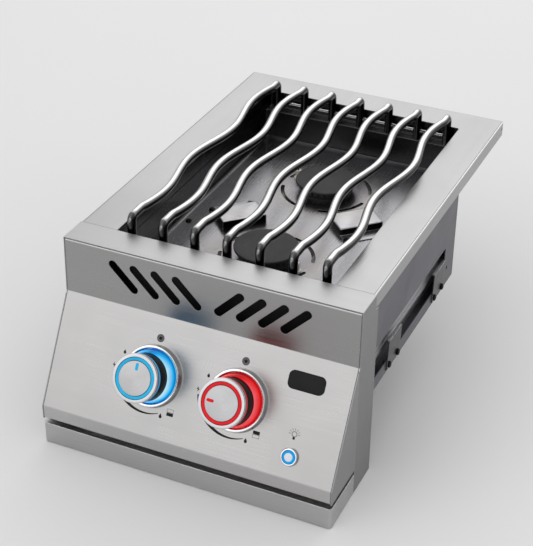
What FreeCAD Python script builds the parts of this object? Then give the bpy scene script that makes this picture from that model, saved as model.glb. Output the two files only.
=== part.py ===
import FreeCAD, Part
import math
import os

# Built in side burner. Millimetres, X to the right, Y to the rear, Z up.
# The origin is the middle of the counter's top front edge: the flange rests on Z = 0 and the
# housing closes against the counter's front at Y = 0.

# Sheet metal
sheet = 1.2
bend = 1.6
joint_gap = 0.3
flush_gap = 0.4
over = 1.0
tiny = 1e-6

# Top flange
flange_width = 328.0
flange_rear = 416.5
flange_height = 16.7
flange_front = -6.1
flange_foot = 9.0
flange_corner = 4.0
flange_edge = 1.4
opening_width = 244.0
opening_front = -5.8
opening_rear = 374.5
opening_corner = 3.0
lip_hole_radius = 2.2
lip_hole_from_rear = 7.0

# Burner tray
ledge_depth = 20.0
ledge_width = 12.6
tray_depth = 57.6
tray_rim = 10.0
tray_corner = 4.0

# Control housing
housing_step = 1.0
housing_front = -41.5
crease_front = -42.7
crease_drop = 63.5
panel_front = -104.5
panel_drop = 172.7
lip_drop = 188.8
trim_top_drop = 194.4
trim_drop = 219.0
frame_seam = -44.5
fascia_return = 12.0
trim_return = 9.0
trim_corner = 3.5
frame_edge = 0.9
slot_count = 4
slot_pitch = 24.1
slot_inner = 11.7
slot_run = 23.8
slot_radius = 4.7
slot_top_drop = 18.4
shield_front = -19.0
shield_return = 8.0
shield_drop = 76.0

# Body below the flange
body_depth = 254.5
body_drop = 125.0
body_tuck = 9.0
body_return = 14.0
body_rear_return = 20.0
window_front = 1.0
window_rear = 222.0
window_top_drop = 71.0
window_bottom_drop = 108.5
window_corner = 2.0
side_hole_rear = 231.4
side_hole_drop = 101.2
side_hole_radius = 2.4
pan_lip = 9.0
pan_clearance = 0.2
pan_slot_length = 90.0
pan_slot_width = 8.0
pan_slot_offset = 63.0
pan_slot_pitch = 40.0
pan_slot_rows = 3
liner_gap = 7.0
liner_front = 3.0
liner_length = 247.0
liner_profile = ((6.0, 0.0), (6.0, 7.0), (0.0, 13.0), (0.0, 30.0), (3.0, 34.0), (3.0, 50.0), (14.0, 62.0))

# Side brackets, the front edges of the two on each side
bracket_starts = (40.0, 180.9)
bracket_width = 44.0
bracket_top = 36.0
bracket_height = 34.0
bracket_drop = 85.7
bracket_sheet = 1.5
bracket_flange = 2.0
bolt_spacing = 25.0
bolt_inset = 4.4
bolt_rise = 5.5
bolt_head_radius = 3.6
bolt_head_height = 2.4
bolt_shank_radius = 2.4
bolt_chamfer = 0.7
bolt_socket = 1.8
bolt_socket_depth = 1.2
bolt_end = 3.0

# Grate
rod_count = 7
rod_pitch = 36.4
rod_radius = 4.75
rod_rise = 15.0
rod_front = 2.5
rod_rear = 367.5
rod_bend = 5.8
wave_start = 22.0
wave_half = 82.5
wave_halves = 4
wave_corner = 7.7
wave_bend = 100.0
wave_end_bend = 35.0
bar_radius = 2.6
bar_rise = 9.7

# Burners
burner_front = 98.4
burner_rear = 265.7
cap_radius = 35.6
cap_thickness = 3.0
cap_edge = 0.8
cap_rise = 14.6
cap_clearance = 0.3
cap_skirt_depth = 1.2
cap_skirt_wall = 2.0
head_radius = 33.0
head_foot_radius = 29.5
head_wall = 4.0
head_neck_radius = 23.0
head_neck_depth = 7.0
head_step = 3.0
head_rim = 4.0
head_floor = 2.0
neck_clearance = 0.6
port_count = 28
port_width = 1.6
port_height = 2.6
port_drop = 1.4
vent_radius = 51.0
vent_width = 4.2
vent_start = 14.0
vent_sweep = 62.0
vent_count = 4
bowl_radius = 32.0
bowl_wall = 2.5
bowl_depth = 30.0
bowl_rim_radius = 37.0
bowl_rim = 3.0
baffle_radius = 64.0
baffle_sheet = 1.2
baffle_drop = 5.0
tube_radius = 12.5
tube_bore = 10.5
tube_drop = 18.0
tube_offset = 48.0
tube_bend = 28.0
tube_turn = 26.5
mouth_front = 30.0
mouth_radius = 16.0
mouth_length = 10.0
mouth_taper = 12.0
shutter_sheet = 1.2
shutter_clearance = 0.2
shutter_length = 9.0
shutter_windows = 4
shutter_window_radius = 4.2
shutter_window_reach = 10.2
orifice_nose_radius = 4.2
orifice_nose = 10.0
orifice_entry = 2.0
orifice_hex = 5.6
orifice_hex_length = 6.0
orifice_bore = 0.8
orifice_clearance = 0.4

# Ignition
electrode_reach = 43.0
electrode_angle = -17.5
electrode_radius = 3.5
electrode_height = 11.0
electrode_tail = 4.0
pin_radius = 0.9
pin_height = 7.0
electrode_clearance = 0.3
electrode_collar = 5.2
electrode_collar_height = 2.0
electrode_flange_gap = 2.0
hood_x = 62.0
hood_y = 21.0
hood_width = 52.0
hood_depth = 34.0
hood_height = 9.6
hood_sheet = 1.0
hood_flange = 16.0
hood_screw = 10.7
hood_screw_spacing = 46.0
tray_screw_inset = 11.0
tray_screw_y = 50.5
screw_head_radius = 3.6
screw_head_height = 2.2
screw_dome = 1.3
screw_slot = 1.0
screw_slot_length = 4.4
screw_slot_depth = 1.3
screw_hole_radius = 1.8
module_size = (46.0, 26.0, 38.0)
module_floor = -178.0
module_rear = -3.0
module_corner = 2.0

# Gas line, measured along and across each knob's axis
knob_spacing = 96.0
knob_down = 62.8
valve_radius = 12.0
valve_front = 26.0
valve_length = 34.0
valve_wall = 2.0
valve_neck_radius = 8.0
valve_neck = 8.0
valve_end_gap = 1.0
plug_radius = 7.0
plug_length = 25.0
running_gap = 0.05
stem_radius = 3.0
stem_depth = 42.0
stem_flat = 0.7
plug_bore_depth = 50.0
manifold_back = 45.0
manifold_radius = 10.0
manifold_bore = 8.0
manifold_right_inset = 23.0
saddle_radius = 8.0
saddle_reach = 13.0
port_radius = 3.0
outlet_back = 52.0
outlet_radius = 6.0
outlet_reach = 14.0
feed_radius = 4.0
feed_bore = 3.0
feed_bend = 10.0
inlet_inset = 59.0
inlet_rear = 24.0
inlet_radius = 7.94
inlet_bore = 5.0
inlet_neck_radius = 8.0
inlet_flare = 1.9
inlet_thread = 14.0
inlet_hex = 10.0
inlet_hex_length = 10.0
clamp_width = 16.0
clamp_gap = 1.0
clamp_sheet = 2.0

# Knobs
knob_face = 42.0
knob_cap_radius = 25.2
knob_cap_length = 4.6
knob_cap_wall = 1.8
knob_cap_edge = 0.5
knob_post_radius = 9.0
knob_glow = 3.6
glow_radius = 24.8
grip_radius = 24.2
grip_back = 10.0
grip_wall = 2.2
hub_radius = 7.0
ring_outer = 21.0
ring_inner = 18.2
ring_depth = 1.2
ring_proud = 0.3
light_gap = 0.1
mark_reach = 12.0
mark_length = 8.0
mark_width = 3.2
knob_turn_right = 90.0
bezel_radius = 33.0
bezel_edge = 0.8
bezel_rim_radius = 31.9
bezel_rim = 6.9
bezel_bevel = 0.6
bezel_inner = 28.4
bezel_sleeve = 29.6
bezel_depth = 4.0
panel_hole_radius = 30.0
bezel_light_top = 18.5
bezel_light_rim = 5.8
bezel_light_depth = 3.0
bezel_light_lip = 0.5
grip_clearance = 0.7

# Light button
button_inset = 50.6
button_down = 102.9
button_bezel_radius = 9.3
button_bezel_rise = 3.2
button_bezel_bevel = 1.2
button_cap_bevel = 0.6
button_bore = 7.0
button_sleeve = 7.9
button_sleeve_depth = 10.0
button_hole_radius = 8.2
button_face = 4.2
button_cap_radius = 4.4
button_ring_radius = 6.6
button_ring_face = 3.7
button_base = 2.0
plunger_radius = 2.5
plunger_length = 14.0
plunger_clearance = 0.1
switch_radius = 7.6
switch_length = 18.0
switch_bore_depth = 10.8
nut_radius = 11.5
nut_thickness = 3.0

# Blank badge
badge_inset = 49.8
badge_down = 27.2
badge_width = 39.0
badge_height = 19.0
badge_corner = 6.0
badge_thickness = 1.0

# Places worked out from the sizes above
flange_half = flange_width / 2
opening_half = opening_width / 2
housing_half = flange_half + housing_step
frame_inner = housing_half - sheet
body_outer = flange_half - sheet
body_inner = body_outer - sheet
sheet_under = flange_height - sheet
ledge_z = flange_height - ledge_depth
floor_z = flange_height - tray_depth
floor_under = floor_z - sheet
crease_z = flange_height - crease_drop
panel_bottom_z = flange_height - panel_drop
lip_z = flange_height - lip_drop
trim_top_z = flange_height - trim_top_drop
trim_z = flange_height - trim_drop
body_z = flange_height - body_drop
rod_z = flange_height + rod_rise
bar_z = ledge_z + bar_rise
cap_z = floor_z + cap_rise
cap_skirt_radius = head_radius - head_wall - cap_clearance
tube_z = floor_under - tube_drop
panel_run = crease_front - panel_front
panel_fall = crease_z - panel_bottom_z
panel_length = math.hypot(panel_run, panel_fall)
panel_turn = 90 - math.degrees(math.atan2(panel_run, panel_fall))
knob_xs = (-knob_spacing / 2, knob_spacing / 2)
tray_screw_x = opening_half - tray_screw_inset
badge_x = housing_half - badge_inset
button_x = housing_half - button_inset
inlet_x = housing_half - inlet_inset
manifold_left = knob_xs[0] - valve_radius - clamp_gap - clamp_width
manifold_right = housing_half - manifold_right_inset
burner_ys = (burner_front, burner_rear)
tube_xs = (-tube_offset, tube_offset)
sides = (-1, 1)


def vec(x, y, z):
    return FreeCAD.Vector(x, y, z)


def box(x0, x1, y0, y1, z0, z1):
    return Part.makeBox(x1 - x0, y1 - y0, z1 - z0, vec(x0, y0, z0))


def post(x, y, z0, z1, radius):
    return Part.makeCylinder(radius, z1 - z0, vec(x, y, z0), vec(0, 0, 1))


def rodAlongX(x0, x1, y, z, radius):
    return Part.makeCylinder(radius, x1 - x0, vec(x0, y, z), vec(1, 0, 0))


def rodAlongY(x, y0, y1, z, radius):
    return Part.makeCylinder(radius, y1 - y0, vec(x, y0, z), vec(0, 1, 0))


def coneAlongY(x, y0, y1, z, radius0, radius1):
    return Part.makeCone(radius0, radius1, y1 - y0, vec(x, y0, z), vec(0, 1, 0))


def fuseAll(shapes):
    result = shapes[0]
    for shape in shapes[1:]:
        result = result.fuse(shape)
    return result.removeSplitter()


def cutAll(shape, tools):
    return shape.cut(Part.makeCompound(tools))


def mirrored(shape):
    return shape.mirror(vec(0, 0, 0), vec(1, 0, 0))


def turned(points):
    """Spin a closed outline of (radius, height) points round Z."""
    corners = [vec(r, 0, h) for r, h in points]
    face = Part.Face(Part.makePolygon(corners + corners[:1]))
    return face.revolve(vec(0, 0, 0), vec(0, 0, 1), 360)


def hexPrism(half_across, height):
    radius = half_across / math.cos(math.radians(30))
    corners = []
    for step in range(6):
        angle = math.radians(60 * step)
        corners.append(vec(radius * math.cos(angle), radius * math.sin(angle), 0))
    face = Part.Face(Part.makePolygon(corners + corners[:1]))
    return face.extrude(vec(0, 0, height))


def plate(points, place, depth):
    """Extrude a flat outline, whose (u, v) points place() turns into space."""
    corners = [place(u, v) for u, v in points]
    return Part.Face(Part.makePolygon(corners + corners[:1])).extrude(depth)


def filletUpright(shape, radius, keep):
    """Round the edges along Z whose middle point keep() accepts."""
    chosen = []
    for edge in shape.Edges:
        start, end = edge.Vertexes[0].Point, edge.Vertexes[-1].Point
        upright = abs(start.x - end.x) + abs(start.y - end.y) < tiny
        if upright and abs(start.z - end.z) > tiny and keep((start + end) * 0.5):
            chosen.append(edge)
    return shape.makeFillet(radius, chosen)


def foldedSheet(points, thickness, radius, place, depth):
    """A sheet bent along an outline of outer (u, v) points, with the metal on its left."""
    flat = [vec(u, v, 0) for u, v in points]
    runs = [(flat[i + 1] - flat[i]).normalize() for i in range(len(flat) - 1)]
    lefts = [vec(-run.y, run.x, 0) for run in runs]
    near = []
    far = []
    start = flat[0]
    for i in range(1, len(flat) - 1):
        turn = runs[i - 1].x * runs[i].y - runs[i - 1].y * runs[i].x
        angle = runs[i - 1].getAngle(runs[i])
        side = 1 if turn > 0 else -1
        outer = radius + thickness if side > 0 else radius
        reach = outer * math.tan(angle / 2)
        before = flat[i] - runs[i - 1] * reach
        after = flat[i] + runs[i] * reach
        middle = before + lefts[i - 1] * (side * outer)
        bisector = (flat[i] - middle).normalize()
        near.append(Part.LineSegment(start, before).toShape())
        near.append(Part.Arc(before, middle + bisector * outer, after).toShape())
        other = outer - side * thickness
        shift = lefts[i - 1] * thickness
        far.append(Part.LineSegment(start + shift, before + shift).toShape())
        far_after = after + lefts[i] * thickness
        far.append(Part.Arc(before + shift, middle + bisector * other, far_after).toShape())
        start = after
    last = flat[-1]
    near.append(Part.LineSegment(start, last).toShape())
    far.append(Part.LineSegment(start + lefts[-1] * thickness, last + lefts[-1] * thickness).toShape())
    ends = [Part.LineSegment(flat[0], flat[0] + lefts[0] * thickness).toShape(),
            Part.LineSegment(last, last + lefts[-1] * thickness).toShape()]
    wire = Part.Wire(Part.__sortEdges__(near + far + ends))
    face = Part.Face(wire)
    origin = place(0, 0)
    u_way = place(1, 0) - origin
    v_way = place(0, 1) - origin
    normal = u_way.cross(v_way)
    matrix = FreeCAD.Matrix(u_way.x, v_way.x, normal.x, origin.x,
                            u_way.y, v_way.y, normal.y, origin.y,
                            u_way.z, v_way.z, normal.z, origin.z,
                            0, 0, 0, 1)
    face.Placement = FreeCAD.Placement(matrix)
    return face.extrude(depth)


def roundedPath(corners, radii):
    """Straight runs joined by tangent arcs; radii are for the inner corners."""
    edges = []
    start = corners[0]
    for i in range(1, len(corners) - 1):
        before_way = (corners[i] - corners[i - 1]).normalize()
        after_way = (corners[i + 1] - corners[i]).normalize()
        angle = before_way.getAngle(after_way)
        reach = radii[i - 1] * math.tan(angle / 2)
        before = corners[i] - before_way * reach
        after = corners[i] + after_way * reach
        inward = (after_way - before_way).normalize()
        middle = corners[i] + inward * (radii[i - 1] / math.cos(angle / 2))
        crown = middle - inward * radii[i - 1]
        edges.append(Part.LineSegment(start, before).toShape())
        edges.append(Part.Arc(before, crown, after).toShape())
        start = after
    edges.append(Part.LineSegment(start, corners[-1]).toShape())
    return Part.Wire(edges)


def swept(path, corners, radius):
    way = (corners[1] - corners[0]).normalize()
    ring = Part.Wire([Part.makeCircle(radius, corners[0], way)])
    return path.makePipeShell([ring], True, False)


def pipe(corners, radii, outer, bore):
    path = roundedPath(corners, radii)
    return swept(path, corners, outer).cut(swept(path, corners, bore))


def onPanel(shape, x, down, turn=0.0):
    """Set a shape built round Z on the sloped panel, with Z square out of it and Y up the slope."""
    share = down / panel_length
    spot = vec(x, crease_front - panel_run * share, crease_z - panel_fall * share)
    tilt = FreeCAD.Rotation(vec(1, 0, 0), panel_turn)
    spin = FreeCAD.Rotation(vec(0, 0, 1), turn)
    copy = shape.copy()
    copy.Placement = FreeCAD.Placement(spot, tilt.multiply(spin)).multiply(copy.Placement)
    return copy


def panelPoint(x, down, up, out):
    """The point that lies up the slope and out of the panel from a spot on it."""
    return onPanel(Part.Vertex(0, up, out), x, down).Point


def alongX(x):
    return lambda u, v: vec(x, u, v)


def alongY(y):
    return lambda u, v: vec(u, y, v)


def topFrame():
    shell = box(-flange_half, flange_half, flange_front, flange_rear, 0, flange_height)
    shell = filletUpright(shell, flange_corner, lambda p: p.y > 0)
    crown = []
    for edge in shell.Edges:
        heights = [v.Z for v in edge.Vertexes]
        if min(heights) > flange_height - tiny and edge.BoundBox.YMax > flange_front + over:
            crown.append(edge)
    shell = shell.makeFillet(flange_edge, crown)
    ahead = flange_front - over
    inner = box(-body_outer, body_outer, ahead, flange_rear - sheet, sheet, sheet_under)
    inner = filletUpright(inner, flange_corner - sheet, lambda p: p.y > 0)
    foot_inner = flange_half - flange_foot
    foot_rear = flange_rear - flange_foot
    tools = [inner,
             box(-body_outer, body_outer, ahead, body_depth + joint_gap, -over, sheet_under),
             box(-foot_inner, foot_inner, ahead, foot_rear, -over, sheet_under),
             box(-flange_half - over, flange_half + over, ahead, joint_gap, -over, joint_gap)]
    hole = box(-opening_half, opening_half, ahead, opening_rear, sheet_under - over, flange_height + over)
    tools.append(filletUpright(hole, opening_corner, lambda p: p.y > 0))
    hole_y = flange_rear - lip_hole_from_rear
    tools.append(rodAlongX(-flange_half - over, flange_half + over, hole_y, flange_height / 2,
                           lip_hole_radius))
    return cutAll(shell, tools)


def ventSlots(y):
    """Arched slots round each burner, cut through the tray floor."""
    tools = []
    top = floor_z + over
    bottom = floor_under - over
    for number in range(vent_count):
        first = vent_start + 360 / vent_count * number
        ring = Part.makeCylinder(vent_radius + vent_width / 2, top - bottom, vec(0, y, bottom),
                                 vec(0, 0, 1), vent_sweep)
        core = post(0, y, bottom, top, vent_radius - vent_width / 2)
        sector = ring.cut(core)
        sector.rotate(vec(0, y, 0), vec(0, 0, 1), first)
        tools.append(sector)
        for angle in (first, first + vent_sweep):
            end_x = vent_radius * math.cos(math.radians(angle))
            end_y = y + vent_radius * math.sin(math.radians(angle))
            tools.append(post(end_x, end_y, bottom, top, vent_width / 2))
    return tools


def burnerTray():
    deep_front = opening_front + ledge_width
    deep_rear = opening_rear - ledge_width
    rim = box(-opening_half - tray_rim, opening_half + tray_rim,
              opening_front - tray_rim, opening_rear + tray_rim, sheet_under - sheet, sheet_under)
    upper = box(-opening_half - sheet, opening_half + sheet,
                opening_front - sheet, opening_rear + sheet, ledge_z - sheet, sheet_under)
    lower = box(-opening_half - sheet, opening_half + sheet,
                deep_front - sheet, deep_rear + sheet, floor_under, ledge_z)
    upper_inner = box(-opening_half, opening_half, opening_front, opening_rear, ledge_z, flange_height)
    lower_inner = box(-opening_half, opening_half, deep_front, deep_rear, floor_z, flange_height)
    everywhere = lambda p: True
    outer = fuseAll([rim, filletUpright(upper, tray_corner, everywhere),
                     filletUpright(lower, tray_corner, everywhere)])
    tools = [filletUpright(upper_inner, tray_corner - sheet, everywhere),
             filletUpright(lower_inner, tray_corner - sheet, everywhere)]
    for number, y in enumerate(burner_ys):
        tools.append(post(0, y, floor_under - over, floor_z + over, head_neck_radius + neck_clearance))
        tools += ventSlots(y)
        spot = electrodeSpot(number)
        tools.append(post(spot[0], spot[1], floor_under - over, floor_z + over,
                          electrode_radius + electrode_clearance))
    return cutAll(outer, tools)


def sideOutline():
    return [(0, flange_height), (0, trim_z), (frame_seam, trim_z), (frame_seam, seamHeight()),
            (crease_front, crease_z), (housing_front, flange_height)]


def seamHeight():
    """Where the sloped panel's face passes the side seam."""
    return crease_z - (crease_front - frame_seam) * panel_fall / panel_run


def frontFrame():
    strip = box(-housing_half, housing_half, housing_front, flange_front - joint_gap,
                sheet_under, flange_height)
    left = plate(sideOutline(), alongX(-housing_half), vec(sheet, 0, 0))
    right = plate(sideOutline(), alongX(frame_inner), vec(sheet, 0, 0))
    behind = box(-housing_half, housing_half, flange_front - joint_gap, over, 0, flange_height + over)
    frame = fuseAll([strip, left, right]).cut(behind)
    corners = [edge for edge in frame.Edges
               if abs(edge.BoundBox.ZMin - flange_height) < tiny
               and abs(abs(edge.CenterOfMass.x) - housing_half) < tiny]
    return frame.makeFillet(frame_edge, corners)


def controlFascia():
    top_z = sheet_under - joint_gap
    points = [(housing_front + fascia_return, top_z), (housing_front, top_z),
              (crease_front, crease_z), (panel_front, panel_bottom_z), (panel_front, lip_z),
              (panel_front + fascia_return, lip_z)]
    half = frame_inner - flush_gap
    face = foldedSheet(points, sheet, bend, alongX(-half), vec(2 * half, 0, 0))
    tools = []
    top = flange_height - slot_top_drop
    for number in range(slot_count):
        low_x = slot_inner + slot_pitch * number
        for side in sides:
            tools.append(slantedSlot(side, low_x, low_x + slot_run, top - slot_run, top))
    for x in knob_xs:
        tools.append(onPanel(post(0, 0, -bend - sheet, bend + sheet, panel_hole_radius), x, knob_down))
    button_hole = post(0, 0, -bend - sheet, bend + sheet, button_hole_radius)
    tools.append(onPanel(button_hole, button_x, button_down))
    return cutAll(face, tools)


def slantedSlot(side, low_x, high_x, low_z, high_z):
    """A round ended slot at 45 degrees, through the upright face."""
    front = min(crease_front, housing_front) - over
    depth = abs(crease_front - housing_front) + sheet + 2 * over
    across = slot_radius * math.sqrt(0.5)
    points = [(side * (low_x - across), low_z + across), (side * (low_x + across), low_z - across),
              (side * (high_x + across), high_z - across), (side * (high_x - across), high_z + across)]
    shape = plate(points, alongY(front), vec(0, depth, 0))
    low = rodAlongY(side * low_x, front, front + depth, low_z, slot_radius)
    high = rodAlongY(side * high_x, front, front + depth, high_z, slot_radius)
    return fuseAll([shape, low, high])


def sideCheeks():
    rear = frame_seam - joint_gap
    start = crease_z - (crease_front - rear) * panel_fall / panel_run
    points = [(rear, start), (panel_front, panel_bottom_z), (panel_front, lip_z), (rear, lip_z)]
    cheek = plate(points, alongX(frame_inner), vec(sheet, 0, 0))
    return Part.makeCompound([cheek, mirrored(cheek)])


def lowerTrim():
    rear = frame_seam - joint_gap
    outer = box(-housing_half, housing_half, panel_front, rear, trim_z, trim_top_z)
    outer = filletUpright(outer, trim_corner, lambda p: p.y < panel_front + over)
    inner = box(-frame_inner, frame_inner, panel_front + sheet, rear + over,
                trim_z + sheet, trim_top_z - sheet)
    inner = filletUpright(inner, trim_corner - sheet, lambda p: p.y < panel_front + sheet + over)
    mouth_half = housing_half - trim_return
    mouth = box(-mouth_half, mouth_half, panel_front + trim_return, rear + over,
                trim_z - over, trim_top_z + over)
    return cutAll(outer, [inner, mouth])


def bodySide():
    front = -body_tuck
    points = [(body_outer - body_return, body_z), (body_outer, body_z), (body_outer, sheet_under)]
    wall = foldedSheet(points, sheet, bend, alongY(front), vec(0, body_depth - front, 0))
    rear = box(body_outer - body_rear_return, body_outer, body_depth - sheet, body_depth,
               body_z + sheet + bend, -joint_gap)
    wall = fuseAll([wall, rear])
    window_top = flange_height - window_top_drop
    window_bottom = flange_height - window_bottom_drop
    window = box(body_inner - over, body_outer + over, window_front, window_rear, window_bottom, window_top)
    edges = [edge for edge in window.Edges if edge.BoundBox.XLength > sheet]
    window = window.makeFillet(window_corner, edges)
    hole = rodAlongX(body_inner - over, body_outer + over, side_hole_rear, flange_height - side_hole_drop,
                     side_hole_radius)
    bolts = [rodAlongX(body_inner - over, body_outer + over, y, z, bolt_shank_radius)
             for y, z in boltSpots()]
    return cutAll(wall, [window, hole] + bolts)


def bottomPan():
    half = body_inner - bend
    floor = body_z + sheet
    rear = body_depth - sheet - pan_clearance
    points = [(0, floor + pan_lip), (0, floor), (rear, floor), (rear, floor + pan_lip)]
    pan = foldedSheet(points, sheet, bend, alongX(-half), vec(2 * half, 0, 0))
    slots = []
    for row in range(pan_slot_rows):
        y = rear / 2 + (row - (pan_slot_rows - 1) / 2) * pan_slot_pitch
        for side in sides:
            middle = side * pan_slot_offset
            slots.append(box(middle - pan_slot_length / 2, middle + pan_slot_length / 2,
                             y - pan_slot_width / 2, y + pan_slot_width / 2,
                             floor - over, floor + sheet + over))
    return cutAll(pan, slots)


def sideLiners():
    """Bent guard behind each side window, standing on the bottom pan."""
    foot = body_z + 2 * sheet
    outer = body_inner - liner_gap
    points = [(outer - inboard, foot + up) for inboard, up in liner_profile]
    liner = foldedSheet(points, sheet, bend, alongY(liner_front), vec(0, liner_length, 0))
    return Part.makeCompound([liner, mirrored(liner)])


def heatShield():
    half = body_inner - pan_clearance
    low = flange_height - shield_drop
    points = [(shield_front + shield_return, low - shield_return), (shield_front, low),
              (shield_front, sheet_under), (shield_front - shield_return, sheet_under)]
    return foldedSheet(points, sheet, bend, alongX(-half), vec(2 * half, 0, 0))


def boltSpots():
    spots = []
    z = flange_height - bracket_drop - bracket_height + bolt_rise
    for start in bracket_starts:
        for step in (0, 1):
            spots.append((start + bolt_inset + bolt_spacing * step, z))
    return spots


def sideBrackets():
    """Two angle brackets over the window of one side, bolted to the strip below it."""
    top = flange_height - bracket_drop
    low = top - bracket_height
    shapes = []
    for start in bracket_starts:
        slant = bracket_width - bracket_top
        points = [(start, low), (start + bracket_top, low), (start + bracket_top + slant / 2, top),
                  (start + slant / 2, top)]
        face = plate(points, alongX(body_outer), vec(bracket_sheet, 0, 0))
        flange = box(body_outer - bracket_flange, body_outer + bracket_sheet,
                     start + slant / 2, start + bracket_top + slant / 2, top - bracket_sheet, top)
        bracket = fuseAll([face, flange])
        holes = [rodAlongX(body_outer - over, body_outer + bracket_sheet + over, y, z, bolt_shank_radius)
                 for y, z in boltSpots()]
        shapes.append(cutAll(bracket, holes))
    return Part.makeCompound(shapes)


def bracketBolts():
    shapes = []
    seat = body_outer + bracket_sheet
    for y, z in boltSpots():
        head = Part.makeCylinder(bolt_head_radius, bolt_head_height, vec(seat, y, z), vec(1, 0, 0))
        rim = [edge for edge in head.Edges if edge.BoundBox.XMin > seat + bolt_head_height / 2]
        head = head.makeChamfer(bolt_chamfer, rim)
        shank = rodAlongX(body_inner - bolt_end, seat, y, z, bolt_shank_radius)
        socket = hexPrism(bolt_socket, bolt_head_height)
        socket.Placement = FreeCAD.Placement(vec(seat + bolt_head_height - bolt_socket_depth, y, z),
                                             FreeCAD.Rotation(vec(0, 1, 0), 90))
        bolt = fuseAll([head, shank]).cut(socket)
        shapes += [bolt, mirrored(bolt)]
    return Part.makeCompound(shapes)


def rodX(number):
    return (number - (rod_count - 1) / 2) * rod_pitch


def grateRod(number):
    x = rodX(number)
    corners = [vec(x, rod_front, ledge_z), vec(x, rod_front, rod_z), vec(x, wave_start, rod_z)]
    radii = [rod_bend, wave_end_bend]
    for half in range(wave_halves):
        shift = wave_corner if half % 2 == 0 else -wave_corner
        corners.append(vec(x + shift, wave_start + wave_half * (half + 0.5), rod_z))
        radii.append(wave_bend)
    corners.append(vec(x, wave_start + wave_half * wave_halves, rod_z))
    corners.append(vec(x, rod_rear, rod_z))
    corners.append(vec(x, rod_rear, ledge_z))
    radii += [wave_end_bend, rod_bend]
    return swept(roundedPath(corners, radii), corners, rod_radius)


def grateBars():
    """Short cross bars between neighbouring legs, front and rear."""
    shapes = []
    legs = [post(rodX(n), y, ledge_z, rod_z - rod_bend, rod_radius)
            for n in range(rod_count) for y in (rod_front, rod_rear)]
    for y in (rod_front, rod_rear):
        bar = rodAlongX(rodX(0), rodX(rod_count - 1), y, bar_z, bar_radius)
        shapes += cutAll(bar, legs).Solids
    return Part.makeCompound(shapes)


def burnerCap(y):
    under = cap_z - cap_thickness
    skirt_inner = cap_skirt_radius - cap_skirt_wall
    points = [(0, under), (skirt_inner, under), (skirt_inner, under - cap_skirt_depth),
              (cap_skirt_radius, under - cap_skirt_depth), (cap_skirt_radius, under),
              (cap_radius - cap_edge, under), (cap_radius, under + cap_edge),
              (cap_radius, cap_z - cap_edge), (cap_radius - cap_edge, cap_z), (0, cap_z)]
    cap = turned(points)
    cap.translate(vec(0, y, 0))
    return cap


def burnerHead(y):
    top = cap_z - cap_thickness
    foot = floor_z
    neck_bottom = floor_under - head_neck_depth
    inner = head_radius - head_wall
    neck_inner = head_neck_radius - head_wall
    step = foot + head_wall
    points = [(neck_inner, neck_bottom), (head_neck_radius, neck_bottom), (head_neck_radius, foot),
              (head_foot_radius, foot), (head_foot_radius, foot + head_step), (head_radius, top - head_rim),
              (head_radius, top), (inner, top), (inner, step + head_floor), (neck_inner, step)]
    head = turned(points)
    ports = []
    for number in range(port_count // 2):
        port = box(-head_radius - over, head_radius + over, -port_width / 2, port_width / 2,
                   top - port_drop - port_height, top - port_drop)
        port.rotate(vec(0, 0, 0), vec(0, 0, 1), 360 / port_count * (number + 0.5))
        ports.append(port)
    head = cutAll(head, ports)
    head.translate(vec(0, y, 0))
    return head


def venturi(number):
    """Mixing bowl under the tray with its tube and flared mouth. The rear one, which has nothing
    of the body below it, carries a baffle ring that shades the slots."""
    y = burner_ys[number]
    x = tube_xs[number]
    top = floor_under
    low = top - bowl_depth
    corners = [vec(x, mouth_front + mouth_length + mouth_taper, tube_z), vec(x, y - tube_turn, tube_z),
               vec(0, y, tube_z)]
    path = roundedPath(corners, [tube_bend])
    taper_end = mouth_front + mouth_length + mouth_taper
    mouth_end = mouth_front + mouth_length
    shapes = [post(0, y, low, top, bowl_radius),
              post(0, y, top - bowl_rim, top, bowl_rim_radius),
              swept(path, corners, tube_radius),
              coneAlongY(x, mouth_end, taper_end, tube_z, mouth_radius, tube_radius),
              rodAlongY(x, mouth_front, mouth_end, tube_z, mouth_radius)]
    if y == burner_rear:
        baffle_top = top - baffle_drop
        shapes.append(post(0, y, baffle_top - baffle_sheet, baffle_top, baffle_radius))
    outer = fuseAll(shapes)
    wall = tube_radius - tube_bore
    mouth_bore = mouth_radius - wall
    tools = [post(0, y, low + bowl_wall, top - bowl_rim, bowl_radius - bowl_wall),
             post(0, y, low + bowl_wall, top + over, head_neck_radius + neck_clearance),
             swept(path, corners, tube_bore),
             coneAlongY(x, mouth_end, taper_end, tube_z, mouth_bore, tube_bore),
             rodAlongY(x, mouth_front - over, mouth_end, tube_z, mouth_bore)]
    spot = electrodeSpot(number)
    tools.append(post(spot[0], spot[1], top - bowl_rim - over, top + over,
                      electrode_radius + electrode_flange_gap))
    return cutAll(outer, tools)


def airShutters():
    shapes = []
    outer = mouth_radius + shutter_clearance + shutter_sheet
    back = mouth_front
    front = back - shutter_sheet
    for x in tube_xs:
        cup = rodAlongY(x, front, back + shutter_length, tube_z, outer)
        hollow = rodAlongY(x, back, back + shutter_length + over, tube_z, outer - shutter_sheet)
        hole = rodAlongY(x, front - over, back + over, tube_z, orifice_nose_radius + orifice_clearance)
        tools = [hollow, hole]
        for step in range(shutter_windows):
            angle = math.radians(360 / shutter_windows * (step + 0.5))
            tools.append(rodAlongY(x + shutter_window_reach * math.cos(angle), front - over, back + over,
                                   tube_z + shutter_window_reach * math.sin(angle), shutter_window_radius))
        shapes.append(cutAll(cup, tools))
    return Part.makeCompound(shapes)


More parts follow.
